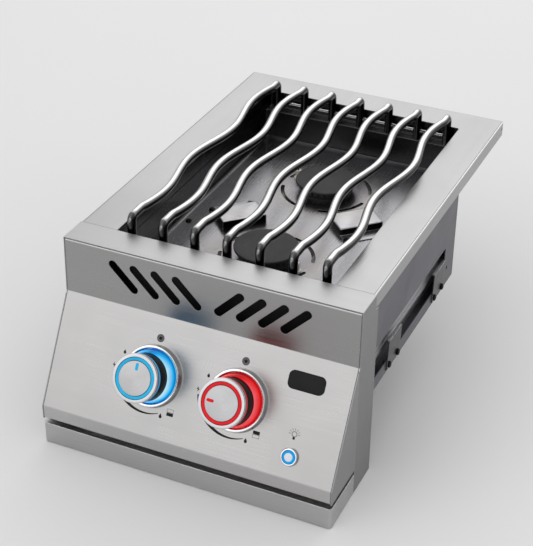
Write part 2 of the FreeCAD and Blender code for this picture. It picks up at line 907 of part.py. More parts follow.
def orifices():
    shapes = []
    seat = mouth_front - orifice_nose + orifice_entry
    for x in tube_xs:
        nose = rodAlongY(x, seat, seat + orifice_nose, tube_z, orifice_nose_radius)
        nut = hexPrism(orifice_hex, orifice_hex_length)
        nut.Placement = FreeCAD.Placement(vec(x, seat, tube_z), FreeCAD.Rotation(vec(1, 0, 0), 90))
        bore = rodAlongY(x, seat - orifice_hex_length - over, seat + orifice_nose + over, tube_z,
                         orifice_bore)
        shapes.append(fuseAll([nose, nut]).cut(bore))
    return Part.makeCompound(shapes)


def feedTube(number):
    """Small tube from the valve's outlet up to the orifice."""
    x = knob_xs[number]
    start = panelPoint(x, knob_down, outlet_reach, -outlet_back)
    way = panelPoint(x, knob_down, outlet_reach + 1, -outlet_back) - start
    climb = (tube_z - start.z) / way.z
    corner = start + way * climb
    end = vec(x, mouth_front - orifice_nose + orifice_entry - orifice_hex_length, tube_z)
    corner_x = vec(x, corner.y, tube_z)
    return pipe([start, corner_x, end], [feed_bend], feed_radius, feed_bore)


def valveBody(number):
    back = -valve_front - valve_length
    body = fuseAll([post(0, 0, back, -valve_front, valve_radius),
                    post(0, 0, -valve_front, -valve_front + valve_neck, valve_neck_radius),
                    crossPost(-manifold_back, -saddle_reach - manifold_radius / 2, 0, saddle_radius),
                    crossPost(-outlet_back, 0, outlet_reach, outlet_radius)])
    plug_front = -valve_front - valve_wall
    tools = [post(0, 0, plug_front - plug_length - valve_end_gap, plug_front, plug_radius + running_gap),
             post(0, 0, plug_front - over, over, stem_radius + running_gap),
             crossPost(-manifold_back, -saddle_reach - manifold_radius, 0, port_radius),
             crossPost(-outlet_back, 0, outlet_reach + over, feed_bore),
             manifoldCore()]
    return onPanel(cutAll(body, tools), knob_xs[number], knob_down)


def crossPost(out, low, high, radius):
    """A round boss across the knob's axis, from low to high up the slope."""
    return Part.makeCylinder(radius, high - low, vec(0, low, out), vec(0, 1, 0))


def manifoldCore():
    spot = vec(-clamp_width * 2, -saddle_reach - manifold_radius, -manifold_back)
    return Part.makeCylinder(manifold_radius, clamp_width * 4, spot, vec(1, 0, 0))


def valvePlug(number):
    front = -valve_front - valve_wall - running_gap
    plug = post(0, 0, front - plug_length, front, plug_radius)
    bore = post(0, 0, -plug_bore_depth, front + over, stem_radius + running_gap)
    return onPanel(plug.cut(bore), knob_xs[number], knob_down)


def stemFlat(start, end):
    return box(stem_radius - stem_flat, stem_radius + over, -stem_radius - over, stem_radius + over,
               start, end)


def valveStem(number):
    top = knob_face - knob_cap_length - knob_glow - grip_wall
    stem = post(0, 0, -stem_depth, top, stem_radius).cut(stemFlat(grip_back, top + over))
    return onPanel(stem, knob_xs[number], knob_down, knobTurn(number))


def manifoldSpot():
    return panelPoint(0, knob_down, -saddle_reach - manifold_radius, -manifold_back)


def manifold():
    spot = manifoldSpot()
    outer = rodAlongX(manifold_left, manifold_right, spot.y, spot.z, manifold_radius)
    wall = manifold_radius - manifold_bore
    inner = rodAlongX(manifold_left + wall, manifold_right - wall, spot.y, spot.z, manifold_bore)
    inlet = rodAlongY(inlet_x, spot.y, spot.y + manifold_radius + over, spot.z, inlet_bore)
    tools = [inner, inlet]
    for x in knob_xs:
        tools.append(onPanel(crossPost(-manifold_back, -saddle_reach - manifold_radius, -saddle_reach + over,
                                       port_radius), x, knob_down))
    return cutAll(outer, tools)


def gasInlet():
    spot = manifoldSpot()
    thread_start = inlet_rear - inlet_thread
    nut = hexPrism(inlet_hex, inlet_hex_length)
    nut.Placement = FreeCAD.Placement(vec(inlet_x, thread_start, spot.z), FreeCAD.Rotation(vec(1, 0, 0), 90))
    outer = fuseAll([rodAlongY(inlet_x, spot.y, thread_start, spot.z, inlet_neck_radius), nut,
                     rodAlongY(inlet_x, thread_start, inlet_rear, spot.z, inlet_radius)])
    tip = [edge for edge in outer.Edges if edge.BoundBox.YMin > inlet_rear - tiny]
    outer = outer.makeChamfer(inlet_flare, tip)
    bore = rodAlongY(inlet_x, spot.y - over, inlet_rear + over, spot.z, inlet_bore)
    pipe_body = rodAlongX(manifold_left, manifold_right, spot.y, spot.z, manifold_radius)
    return cutAll(outer, [bore, pipe_body])


def manifoldBrackets():
    """Angle clips that carry the manifold from the two sides of the front frame."""
    spot = manifoldSpot()
    shapes = []
    hole = rodAlongX(-housing_half, housing_half, spot.y, spot.z, manifold_radius)
    rear = spot.y + clamp_width
    for side, end in ((-1, manifold_left), (1, manifold_right)):
        inner = end - side * clamp_width
        x0, x1 = sorted((inner, side * frame_inner))
        arm = box(x0, x1, spot.y - clamp_width, rear, spot.z - clamp_width,
                  spot.z - clamp_width + clamp_sheet)
        u0, u1 = sorted((inner, inner + side * clamp_sheet))
        ear = box(u0, u1, spot.y - clamp_width, rear, spot.z - clamp_width, spot.z + clamp_width)
        w0, w1 = sorted((side * (frame_inner - clamp_sheet), side * frame_inner))
        tab = box(w0, w1, spot.y - clamp_width, rear, spot.z - clamp_width, spot.z + clamp_width)
        shapes.append(fuseAll([arm, ear, tab]).cut(hole))
    return Part.makeCompound(shapes)


def knobCap(number):
    back = knob_face - knob_cap_length
    inside = knob_cap_radius - knob_cap_wall
    face = knob_face - knob_cap_wall - ring_depth
    outer = post(0, 0, back, knob_face, knob_cap_radius)
    rim = [edge for edge in outer.Edges if edge.BoundBox.ZMin > knob_face - tiny]
    outer = outer.makeFillet(knob_cap_edge, rim)
    hollow = post(0, 0, back - over, face, inside)
    floor = knob_face - ring_depth
    groove = post(0, 0, floor, knob_face + over, ring_outer + light_gap)
    groove = groove.cut(post(0, 0, floor - over, knob_face + 2 * over, ring_inner - light_gap))
    shell = cutAll(outer, [hollow, groove, markShape(light_gap, floor, knob_face + over)])
    boss = post(0, 0, back - knob_glow, face, knob_post_radius)
    return onPanel(fuseAll([shell, boss]), knob_xs[number], knob_down, knobTurn(number))


def knobTurn(number):
    return knob_turn_right * number


def markShape(grow, low, high):
    half = mark_width / 2 + grow
    return box(-half, half, mark_reach - mark_length / 2 - grow, mark_reach + mark_length / 2 + grow,
               low, high)


def knobLights(number):
    low = knob_face - ring_depth
    high = knob_face + ring_proud
    ring = post(0, 0, low, high, ring_outer).cut(post(0, 0, low - over, high + over, ring_inner))
    back = knob_face - knob_cap_length
    inside = knob_cap_radius - knob_cap_wall
    glow = post(0, 0, back - knob_glow, back, glow_radius)
    glow = glow.cut(post(0, 0, back - knob_glow - over, back + over, inside))
    shapes = [ring, glow, markShape(0, low, high)]
    return onPanel(Part.makeCompound(shapes), knob_xs[number], knob_down, knobTurn(number))


def knobGrip(number):
    front = knob_face - knob_cap_length - knob_glow
    outer = post(0, 0, grip_back, front, grip_radius)
    hollow = post(0, 0, grip_back - over, front - grip_wall, grip_radius - grip_wall)
    hub = post(0, 0, grip_back, front - grip_wall / 2, hub_radius)
    bore = post(0, 0, grip_back - over, front - grip_wall, stem_radius + running_gap)
    grip = fuseAll([outer.cut(hollow), hub]).cut(bore.cut(stemFlat(0, front)))
    return onPanel(grip, knob_xs[number], knob_down, knobTurn(number))


def knobBezels():
    points = [(bezel_inner, -bezel_depth), (bezel_sleeve, -bezel_depth), (bezel_sleeve, 0),
              (bezel_radius, 0), (bezel_radius, bezel_edge), (bezel_rim_radius, bezel_rim - bezel_bevel),
              (bezel_rim_radius - bezel_bevel, bezel_rim), (bezel_inner + bezel_bevel, bezel_rim),
              (bezel_inner, bezel_rim - bezel_bevel)]
    ring = turned(points)
    return Part.makeCompound([onPanel(ring, x, knob_down) for x in knob_xs])


def bezelLight(number):
    outer = bezel_inner - light_gap
    inner = grip_radius + grip_clearance
    points = [(inner, -bezel_light_depth), (outer, -bezel_light_depth), (outer, bezel_light_rim),
              (inner + bezel_light_lip, bezel_light_top), (inner, bezel_light_top)]
    return onPanel(turned(points), knob_xs[number], knob_down)


def buttonBezel():
    points = [(button_bore, -button_sleeve_depth), (button_sleeve, -button_sleeve_depth),
              (button_sleeve, 0), (button_bezel_radius, 0),
              (button_bezel_radius, button_bezel_rise - button_bezel_bevel),
              (button_bezel_radius - button_bezel_bevel, button_bezel_rise), (button_bore, button_bezel_rise)]
    return onPanel(turned(points), button_x, button_down)


def buttonCap():
    points = [(0, -plunger_length), (plunger_radius, -plunger_length), (plunger_radius, -button_base),
              (button_ring_radius, -button_base), (button_ring_radius, 0), (button_cap_radius, 0),
              (button_cap_radius, button_face - button_cap_bevel),
              (button_cap_radius - button_cap_bevel, button_face), (0, button_face)]
    return onPanel(turned(points), button_x, button_down)


def buttonLight():
    ring = post(0, 0, 0, button_ring_face, button_ring_radius)
    ring = ring.cut(post(0, 0, -over, button_ring_face + over, button_cap_radius + light_gap))
    return onPanel(ring, button_x, button_down)


def buttonSwitch():
    top = -button_sleeve_depth
    body = post(0, 0, top - switch_length, top, switch_radius)
    body = body.cut(post(0, 0, top - switch_bore_depth, top + over, plunger_radius + plunger_clearance))
    nut = post(0, 0, -sheet - nut_thickness, -sheet, nut_radius)
    nut = nut.cut(post(0, 0, -sheet - nut_thickness - over, over, button_sleeve + running_gap))
    return onPanel(Part.makeCompound([body, nut]), button_x, button_down)


def electrodeSpot(number):
    angle = math.radians(electrode_angle + 180 * number)
    return electrode_reach * math.cos(angle), burner_ys[number] + electrode_reach * math.sin(angle)


def electrodes():
    shapes = []
    for number in (0, 1):
        x, y = electrodeSpot(number)
        rod = post(x, y, floor_under - electrode_tail, floor_z + electrode_height, electrode_radius)
        collar = post(x, y, floor_z, floor_z + electrode_collar_height, electrode_collar)
        bore = post(x, y, floor_z + electrode_height - pin_height, floor_z + electrode_height + over,
                    pin_radius)
        shapes.append(fuseAll([rod, collar]).cut(bore))
    return Part.makeCompound(shapes)


def electrodePins():
    shapes = []
    for number in (0, 1):
        x, y = electrodeSpot(number)
        low = floor_z + electrode_height - pin_height
        shapes.append(post(x, y, low, floor_z + electrode_height + pin_height, pin_radius))
    return Part.makeCompound(shapes)


def hoodPlace(shape, number):
    middle = (burner_front + burner_rear) / 2
    side = sides[number]
    copy = shape.copy()
    spot = vec(side * hood_x, middle + side * hood_y, floor_z)
    placed = FreeCAD.Placement(spot, FreeCAD.Rotation(vec(0, 0, 1), 45 + 180 * number))
    copy.Placement = placed.multiply(copy.Placement)
    return copy


def ignitionHoods():
    """Folded covers, open towards their burner, with a flange that the screws hold down."""
    half = hood_width / 2
    deep = hood_depth / 2
    outer = box(-half, half, -deep, deep, 0, hood_height)
    hollow = box(-half + hood_sheet, half - hood_sheet, -deep - over, deep - hood_sheet, -over,
                 hood_height - hood_sheet)
    flange = box(-half, half, deep - hood_sheet, deep + hood_flange, 0, hood_sheet)
    holes = [post(x, y, -over, hood_sheet + over, screw_hole_radius) for x, y in hoodScrewSpots()]
    hood = cutAll(fuseAll([outer.cut(hollow), flange]), holes)
    return Part.makeCompound([hoodPlace(hood, 0), hoodPlace(hood, 1)])


def hoodScrewSpots():
    y = hood_depth / 2 + hood_screw
    return [(-hood_screw_spacing / 2, y), (hood_screw_spacing / 2, y)]


def panScrew():
    head = post(0, 0, 0, screw_head_height, screw_head_radius)
    rim = [edge for edge in head.Edges if edge.BoundBox.ZMin > screw_head_height / 2]
    head = head.makeFillet(screw_dome, rim)
    low = screw_head_height - screw_slot_depth
    wide = screw_slot / 2
    long = screw_slot_length / 2
    slots = [box(-wide, wide, -long, long, low, screw_head_height + over),
             box(-long, long, -wide, wide, low, screw_head_height + over)]
    return cutAll(head, slots)


def trayScrews():
    shapes = []
    middle = (burner_front + burner_rear) / 2
    for number in (0, 1):
        for x, y in hoodScrewSpots():
            screw = panScrew()
            screw.translate(vec(x, y, hood_sheet))
            shapes.append(hoodPlace(screw, number))
        side = sides[number]
        screw = panScrew()
        screw.translate(vec(side * tray_screw_x, middle + side * tray_screw_y, floor_z))
        shapes.append(screw)
    return Part.makeCompound(shapes)


def ignitionModule():
    wide, deep, high = module_size
    body = box(-frame_inner, -frame_inner + wide, module_rear - deep, module_rear,
               module_floor, module_floor + high)
    return filletUpright(body, module_corner, lambda p: p.x > -frame_inner + over)


def badgePlate():
    half = badge_width / 2
    up = badge_height / 2
    face = box(-half, half, -up, up, 0, badge_thickness)
    face = filletUpright(face, badge_corner, lambda p: True)
    return onPanel(face, badge_x, badge_down)


def addPair(nodes, name, build):
    for number, side in enumerate(("left", "right")):
        nodes[name + "_" + side] = build(number)


def buildNodes():
    nodes = {}
    nodes["top_frame"] = topFrame()
    nodes["burner_tray"] = burnerTray()
    nodes["front_frame"] = frontFrame()
    nodes["control_fascia"] = controlFascia()
    nodes["side_cheeks"] = sideCheeks()
    nodes["lower_trim"] = lowerTrim()
    right_side = bodySide()
    nodes["body_side_right"] = right_side
    nodes["body_side_left"] = mirrored(right_side)
    nodes["bottom_pan"] = bottomPan()
    nodes["side_liners"] = sideLiners()
    nodes["heat_shield"] = heatShield()
    right_brackets = sideBrackets()
    nodes["side_brackets_right"] = right_brackets
    nodes["side_brackets_left"] = mirrored(right_brackets)
    nodes["bracket_bolts"] = bracketBolts()
    for number in range(rod_count):
        nodes["grate_rod_" + str(number + 1)] = grateRod(number)
    nodes["grate_bars"] = grateBars()
    for number, place in enumerate(("front", "rear")):
        y = burner_ys[number]
        nodes["burner_cap_" + place] = burnerCap(y)
        nodes["burner_head_" + place] = burnerHead(y)
        nodes["venturi_" + place] = venturi(number)
    nodes["air_shutters"] = airShutters()
    nodes["orifices"] = orifices()
    nodes["manifold"] = manifold()
    nodes["manifold_brackets"] = manifoldBrackets()
    nodes["gas_inlet"] = gasInlet()
    addPair(nodes, "feed_tube", feedTube)
    addPair(nodes, "valve_body", valveBody)
    addPair(nodes, "valve_plug", valvePlug)
    addPair(nodes, "valve_stem", valveStem)
    addPair(nodes, "knob_cap", knobCap)
    addPair(nodes, "knob_grip", knobGrip)
    addPair(nodes, "knob_lights", knobLights)
    addPair(nodes, "bezel_light", bezelLight)
    nodes["knob_bezels"] = knobBezels()
    nodes["button_bezel"] = buttonBezel()
    nodes["button_cap"] = buttonCap()
    nodes["button_light"] = buttonLight()
    nodes["button_switch"] = buttonSwitch()
    nodes["ignition_hoods"] = ignitionHoods()
    nodes["electrodes"] = electrodes()
    nodes["electrode_pins"] = electrodePins()
    nodes["tray_screws"] = trayScrews()
    nodes["ignition_module"] = ignitionModule()
    nodes["badge_plate"] = badgePlate()
    return nodes


os.makedirs("parts", exist_ok=True)
for name, shape in buildNodes().items():
    solids = shape.Solids
    if not solids or not all(solid.isValid() for solid in solids):
        raise ValueError(name + " has no valid solid")
    shape.exportStep("parts/" + name + ".step")
    print(name, len(solids), round(shape.Volume, 1))
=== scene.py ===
import math

import bmesh
import bpy
from mathutils import Matrix, Vector
from mathutils.geometry import tessellate_polygon


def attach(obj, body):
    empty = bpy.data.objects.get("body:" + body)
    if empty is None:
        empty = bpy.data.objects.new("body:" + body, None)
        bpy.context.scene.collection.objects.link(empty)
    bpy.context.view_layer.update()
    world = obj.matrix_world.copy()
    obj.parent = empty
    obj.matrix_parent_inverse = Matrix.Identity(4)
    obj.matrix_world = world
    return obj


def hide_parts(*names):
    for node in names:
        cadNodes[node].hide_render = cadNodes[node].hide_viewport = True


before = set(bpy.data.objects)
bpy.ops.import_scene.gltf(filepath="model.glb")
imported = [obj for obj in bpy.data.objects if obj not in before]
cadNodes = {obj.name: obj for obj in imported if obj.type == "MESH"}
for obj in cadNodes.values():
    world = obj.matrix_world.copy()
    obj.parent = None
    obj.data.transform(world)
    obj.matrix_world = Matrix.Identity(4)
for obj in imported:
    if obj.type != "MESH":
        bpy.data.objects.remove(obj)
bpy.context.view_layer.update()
print("frame loaded:", len(cadNodes), "nodes")

# Lengths are in metres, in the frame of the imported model. mm turns a drawing size into metres.
mm = 0.001
panelSlope = {
    "creaseY": -42.7 * mm,
    "creaseZ": -46.8 * mm,
    "normal": Vector((0.0, -0.870296, 0.492530)),
}
knobPlaces = {"left": -48.0 * mm, "right": 48.0 * mm}
knobDown = 62.8 * mm
burnerPlaces = {"front": 98.4 * mm, "rear": 265.7 * mm}
floorHeight = -40.9 * mm


# x along the panel, down its slope; local Z points out of it and local Y up it
def panelPlace(x, down, turn=0.0):
    out = panelSlope["normal"]
    up = Vector((0.0, out.z, -out.y))
    spot = Vector((x, panelSlope["creaseY"], panelSlope["creaseZ"])) - up * down
    basis = Matrix(((1, 0, 0), up, out)).transposed().to_4x4()
    return Matrix.Translation(spot) @ basis @ Matrix.Rotation(turn, 4, "Z")


def addObject(name, data):
    thing = bpy.data.objects.new(name, data)
    bpy.context.scene.collection.objects.link(thing)
    return thing


# Small helpers for node trees
def setInputs(tree, node, inputs):
    for name, value in inputs.items():
        socket = node.inputs[name]
        if isinstance(value, bpy.types.NodeSocket):
            tree.links.new(value, socket)
        else:
            socket.default_value = value


def addNode(tree, kind, inputs=None, **settings):
    node = tree.nodes.new(kind)
    for name, value in settings.items():
        setattr(node, name, value)
    setInputs(tree, node, inputs or {})
    return node


def addMath(tree, operation, first, second=0.0, third=0.0, clamp=False):
    node = addNode(tree, "ShaderNodeMath", {0: first, 1: second, 2: third},
                   operation=operation, use_clamp=clamp)
    return node.outputs[0]


def addRemap(tree, value, low, high, newLow, newHigh):
    node = addNode(tree, "ShaderNodeMapRange", {"Value": value, "From Min": low, "From Max": high,
                                                "To Min": newLow, "To Max": newHigh})
    return node.outputs[0]


def addNoise(tree, place, scale, detail, **inputs):
    inputs.update({"Vector": place, "Scale": scale, "Detail": detail})
    return addNode(tree, "ShaderNodeTexNoise", inputs).outputs[0]


# Level between 0 and 1 of a value between low and high
def addLevel(tree, value, low=0.3, high=0.7):
    return addRemap(tree, value, low, high, 0.0, 1.0)


# Multiplies a colour by a grey ramp over value, which runs from 0 to 1; stops are (position, level)
def addRampLevels(tree, color, value, stops):
    ramp = tree.nodes.new("ShaderNodeValToRGB")
    tree.links.new(value, ramp.inputs[0])
    elements = ramp.color_ramp.elements
    for element, (spot, level) in zip(elements, (stops[0], stops[-1])):
        element.position, element.color = spot, grey(level)
    for spot, level in stops[1:-1]:
        elements.new(spot).color = grey(level)
    return addColorMix(tree, 1.0, color, ramp.outputs[0], "MULTIPLY")


def addColorMix(tree, amount, first, second, blend="MIX"):
    node = addNode(tree, "ShaderNodeMix", data_type="RGBA", blend_type=blend)
    setInputs(tree, node, {0: amount, 6: first, 7: second})
    return node.outputs[2]


def newGroup(name, inputs, outputs):
    tree = bpy.data.node_groups.new(name, "ShaderNodeTree")
    for label, kind, value in inputs:
        socket = tree.interface.new_socket(label, in_out="INPUT", socket_type="NodeSocket" + kind)
        socket.default_value = value
    for label, kind in outputs:
        tree.interface.new_socket(label, in_out="OUTPUT", socket_type="NodeSocket" + kind)
    return tree, tree.nodes.new("NodeGroupInput").outputs, tree.nodes.new("NodeGroupOutput")


def useGroup(tree, group, inputs):
    node = tree.nodes.new("ShaderNodeGroup")
    node.node_tree = group
    setInputs(tree, node, inputs)
    return node.outputs


# Shader groups: each gives colours, masks, values or normals that vary over the surface
# Long fine scratches along one way, with wider bands of the same way
def buildBrushGroup():
    tree, given, result = newGroup("brushedLines", [
        ("Vector", "Vector", (0, 0, 0)), ("Stretch", "Vector", (20, 900, 900)),
        ("Bands", "Vector", (4, 60, 60)),
    ], [("Lines", "Float"), ("Bands", "Float")])
    for label, stretch, detail, roughness in (("Lines", "Stretch", 6.0, 0.62), ("Bands", "Bands", 3.0, 0.5)):
        drawn = addNode(tree, "ShaderNodeVectorMath", {0: given["Vector"], 1: given[stretch]},
                        operation="MULTIPLY")
        noise = addNoise(tree, drawn.outputs[0], 1.0, detail, Roughness=roughness)
        setInputs(tree, result, {label: addLevel(tree, noise)})
    return tree


# Worn and highlighted edges: a mask that is 1 on sharp edges, used partly for edge wear and partly for
# painted highlight, and a normal that rounds the edges
def buildEdgeGroup():
    tree, given, result = newGroup("wornAndHighlightEdges", [
        ("Radius", "Float", 0.0005), ("Gain", "Float", 6.0), ("Breakup", "Float", 0.4),
        ("Vector", "Vector", (0, 0, 0)),
    ], [("Edge", "Float"), ("Normal", "Vector")])
    bevel = addNode(tree, "ShaderNodeBevel", {"Radius": given["Radius"]}, samples=6)
    flat = tree.nodes.new("ShaderNodeNewGeometry")
    dot = addNode(tree, "ShaderNodeVectorMath", {0: bevel.outputs[0], 1: flat.outputs["Normal"]},
                  operation="DOT_PRODUCT")
    bend = addMath(tree, "SUBTRACT", 1.0, dot.outputs["Value"])
    gain = addMath(tree, "MULTIPLY", bend, given["Gain"], clamp=True)
    keep = addMath(tree, "MULTIPLY", addNoise(tree, given["Vector"], 260.0, 3.0), given["Breakup"])
    setInputs(tree, result, {"Edge": addMath(tree, "SUBTRACT", gain, keep, clamp=True),
                             "Normal": bevel.outputs[0]})
    return tree


# Faint cloudy handling marks and fine specks of dust
def buildMarksGroup():
    tree, given, result = newGroup("handMarks", [
        ("Vector", "Vector", (0, 0, 0)), ("Cloud Scale", "Float", 18.0), ("Speck Scale", "Float", 900.0),
    ], [("Clouds", "Float"), ("Specks", "Float")])
    clouds = addNoise(tree, given["Vector"], given["Cloud Scale"], 4.0, Distortion=0.6)
    specks = addNoise(tree, given["Vector"], given["Speck Scale"], 1.0)
    setInputs(tree, result, {"Clouds": addLevel(tree, clouds, 0.35, 0.7),
                             "Specks": addLevel(tree, specks, 0.66, 0.74)})
    return tree


# Straw and blue tint in rings round the two burners, fading outwards
def buildHeatGroup():
    tree, given, result = newGroup("heatTint", [
        ("Vector", "Vector", (0, 0, 0)), ("Reach", "Float", 0.075),
    ], [("Tint", "Color")])
    nearest = None
    for y in burnerPlaces.values():
        away = addNode(tree, "ShaderNodeVectorMath", {0: given["Vector"], 1: (0, y, floorHeight)},
                       operation="DISTANCE")
        distance = away.outputs["Value"]
        nearest = distance if nearest is None else addMath(tree, "MINIMUM", nearest, distance)
    shift = addMath(tree, "MULTIPLY", addNoise(tree, given["Vector"], 35.0, 3.0), 0.014)
    edge = addMath(tree, "DIVIDE", addMath(tree, "ADD", nearest, shift), given["Reach"], clamp=True)
    ramp = tree.nodes.new("ShaderNodeValToRGB")
    tree.links.new(edge, ramp.inputs[0])
    stops = ramp.color_ramp.elements
    stops[0].position, stops[0].color = 0.50, (0.33, 0.30, 0.34, 1)
    stops[1].position, stops[1].color = 0.98, (0.62, 0.62, 0.62, 1)
    for place, color in ((0.66, (0.50, 0.46, 0.42, 1)), (0.80, (0.60, 0.57, 0.52, 1))):
        stops.new(place).color = color
    setInputs(tree, result, {"Tint": ramp.outputs[0]})
    return tree


# Turned marks: fine circles round an axis, with radial sheen streaks
def buildRingGroup():
    tree, given, result = newGroup("turnedRings", [
        ("Vector", "Vector", (0, 0, 0)), ("Pitch", "Float", 2600.0), ("Streaks", "Float", 5.0),
    ], [("Rings", "Float"), ("Sheen", "Float")])
    parts = addNode(tree, "ShaderNodeSeparateXYZ", {0: given["Vector"]})
    flat = addNode(tree, "ShaderNodeCombineXYZ", {0: parts.outputs[0], 1: parts.outputs[1]})
    radius = addNode(tree, "ShaderNodeVectorMath", {0: flat.outputs[0]}, operation="LENGTH").outputs["Value"]
    angle = addMath(tree, "ARCTAN2", parts.outputs[1], parts.outputs[0])
    along = addNode(tree, "ShaderNodeCombineXYZ", {0: addMath(tree, "MULTIPLY", radius, given["Pitch"]),
                                                   1: angle, 2: parts.outputs[2]})
    fans = addMath(tree, "SINE", addMath(tree, "MULTIPLY", angle, given["Streaks"]))
    setInputs(tree, result, {"Rings": addLevel(tree, addNoise(tree, along.outputs[0], 1.0, 3.0)),
                             "Sheen": addLevel(tree, fans, -1.0, 1.0)})
    return tree


brushedLines = buildBrushGroup()
wornAndHighlightEdges = buildEdgeGroup()
handMarks = buildMarksGroup()
heatTint = buildHeatGroup()
turnedRings = buildRingGroup()
print("shader groups ready")


# Materials
def newMaterial(name):
    material = bpy.data.materials.new(name)
    material.use_nodes = True
    tree = material.node_tree
    tree.nodes.clear()
    shader = tree.nodes.new("ShaderNodeBsdfPrincipled")
    output = tree.nodes.new("ShaderNodeOutputMaterial")
    tree.links.new(shader.outputs[0], output.inputs[0])
    place = tree.nodes.new("ShaderNodeTexCoord").outputs["Object"]
    return material, tree, shader, place


def grey(level, warm=0.0):
    return (level * (1 + warm), level, level * (1 - warm), 1.0)


# Painted light and shade by facing: faces are painted darker or brighter by the way they face along an axis;
# stops are (cosine, level)
def addFacing(tree, color, axis, stops):
    facing = tree.nodes.new("ShaderNodeTexCoord").outputs["Normal"]
    along = addNode(tree, "ShaderNodeVectorMath", {0: facing, 1: axis}, operation="DOT_PRODUCT")
    value = addLevel(tree, along.outputs["Value"], -1.0, 1.0)
    return addRampLevels(tree, color, value, [(cosine / 2 + 0.5, level) for cosine, level in stops])


# Painted shade and highlight lines along an edge: stops are (distance from the middle, level) between look
# values low and high
def addHem(tree, color, place, look):
    away = addNode(tree, "ShaderNodeSeparateXYZ", {0: place}).outputs["xyz".index(look["axis"])]
    value = addLevel(tree, addMath(tree, "ABSOLUTE", away), look["low"], look["high"])
    scale = look["high"] - look["low"]
    stops = [((away - look["low"]) / scale, level) for away, level in look["stops"]]
    return addRampLevels(tree, color, value, stops)


def shaded(color, share):
    return tuple(min(1.0, part * share) for part in color[:3]) + (1,)


# Sets the surface of a material: colour, roughness, a bump over the rounded edges, and plain values
def paintSurface(tree, shader, color, rough, bump, **values):
    height, strength, distance, normal = bump
    relief = addNode(tree, "ShaderNodeBump", {"Height": height, "Strength": strength, "Distance": distance,
                                              "Normal": normal})
    setInputs(tree, shader, {"Base Color": color, "Roughness": rough, "Normal": relief.outputs[0]})
    setInputs(tree, shader, {name.replace("_", " "): value for name, value in values.items()})


def addEdges(tree, place, look, radius, gain, breakup):
    return useGroup(tree, wornAndHighlightEdges, {"Vector": place, "Radius": look.get("edge", radius),
                                      "Gain": look.get("edgeGain", gain), "Breakup": breakup})


# Sheet steel with brushing along look["along"], edges lightened partly as wear and partly as painted
# highlight, faint marks, and, where given, painted shade by facing and painted shade and highlight bands
def brushedSteel(name, look):
    material, tree, shader, place = newMaterial(name)
    stretch = [14.0 if axis == look["along"] else 1100.0 for axis in "xyz"]
    bands = [3.0 if axis == look["along"] else 70.0 for axis in "xyz"]
    lines = useGroup(tree, brushedLines, {"Vector": place, "Stretch": stretch, "Bands": bands})
    edges = addEdges(tree, place, look, 0.0005, 5.0, 0.35)
    marks = useGroup(tree, handMarks, {"Vector": place, "Cloud Scale": 14.0})
    base = look["color"]
    depth = look.get("depth", 0.10)
    mixed = addMath(tree, "ADD", addMath(tree, "MULTIPLY", lines["Lines"], 0.6),
                    addMath(tree, "MULTIPLY", lines["Bands"], 0.4))
    color = addColorMix(tree, mixed, shaded(base, 1 - depth), shaded(base, 1 + depth))
    for axis, stops in look.get("facing", []):
        color = addFacing(tree, color, axis, stops)
    if look.get("shadeBands"):
        color = addHem(tree, color, place, look["shadeBands"])
    if look.get("heat"):
        heat = useGroup(tree, heatTint, {"Vector": place, "Reach": look["heat"]})
        color = addColorMix(tree, look["heatMix"], color, heat["Tint"], "MULTIPLY")
    color = addColorMix(tree, edges["Edge"], color, look.get("wornAndHighlightEdgeColor", shaded(base, 1.35)))
    rough = look["roughness"]
    grain = look.get("grain", 0.05)
    grain = addRemap(tree, lines["Lines"], 0.0, 1.0, rough - grain, rough + grain)
    rough = addMath(tree, "ADD", grain, addMath(tree, "MULTIPLY", marks["Clouds"], look.get("marks", 0.05)))
    paintSurface(tree, shader, color, rough, (mixed, look.get("bump", 0.12), 0.0002, edges["Normal"]),
                 Metallic=look.get("metallic", 1.0))
    return material


# Cast or enamelled metal with a pitted skin, its edges lightened partly as wear and partly as painted
# highlight
def castMetal(name, look):
    material, tree, shader, place = newMaterial(name)
    pits = addNoise(tree, place, look.get("grain", 1400.0), 4.0, Roughness=0.6)
    edges = addEdges(tree, place, look, 0.0006, 5.0, 0.5)
    marks = useGroup(tree, handMarks, {"Vector": place, "Cloud Scale": 40.0})
    color = addColorMix(tree, marks["Clouds"], look["color"], look["second"])
    for mask, share, tone in ((marks["Specks"], look.get("specks", 0.3), grey(0.5)),
                              (edges["Edge"], look.get("wornAndHighlightEdgeShare", 0.5), look.get("wornAndHighlightEdgeColor", grey(0.35)))):
        color = addColorMix(tree, addMath(tree, "MULTIPLY", mask, share), color, tone)
    rough = addRemap(tree, pits, 0.3, 0.7, look["roughness"] - 0.08, look["roughness"] + 0.1)
    paintSurface(tree, shader, color, rough, (pits, look.get("bump", 0.3), 0.0003, edges["Normal"]),
                 Metallic=look.get("metallic", 0.0))
    return material


# Smooth bright metal with faint drawing lines and haze, and, where given, painted highlight and shade by
# facing
def polishedMetal(name, look):
    material, tree, shader, place = newMaterial(name)
    marks = useGroup(tree, handMarks, {"Vector": place, "Cloud Scale": 30.0})
    edges = addEdges(tree, place, look, 0.0005, 2.0, 0.4)
    stretch = look.get("stretch", (500, 500, 500))
    lines = useGroup(tree, brushedLines, {"Vector": place, "Stretch": stretch, "Bands": (30, 30, 30)})
    color = addColorMix(tree, marks["Clouds"], look["color"], shaded(look["color"], 0.86))
    for axis, stops in look.get("facing", []):
        color = addFacing(tree, color, axis, stops)
    haze = addMath(tree, "ADD",
                   addRemap(tree, lines["Lines"], 0, 1, look["roughness"] - 0.02, look["roughness"] + 0.03),
                   addMath(tree, "MULTIPLY", marks["Clouds"], 0.03))
    paintSurface(tree, shader, color, haze, (lines["Lines"], look.get("bump", 0.03), 0.0001, edges["Normal"]),
                 Metallic=1.0)
    return material
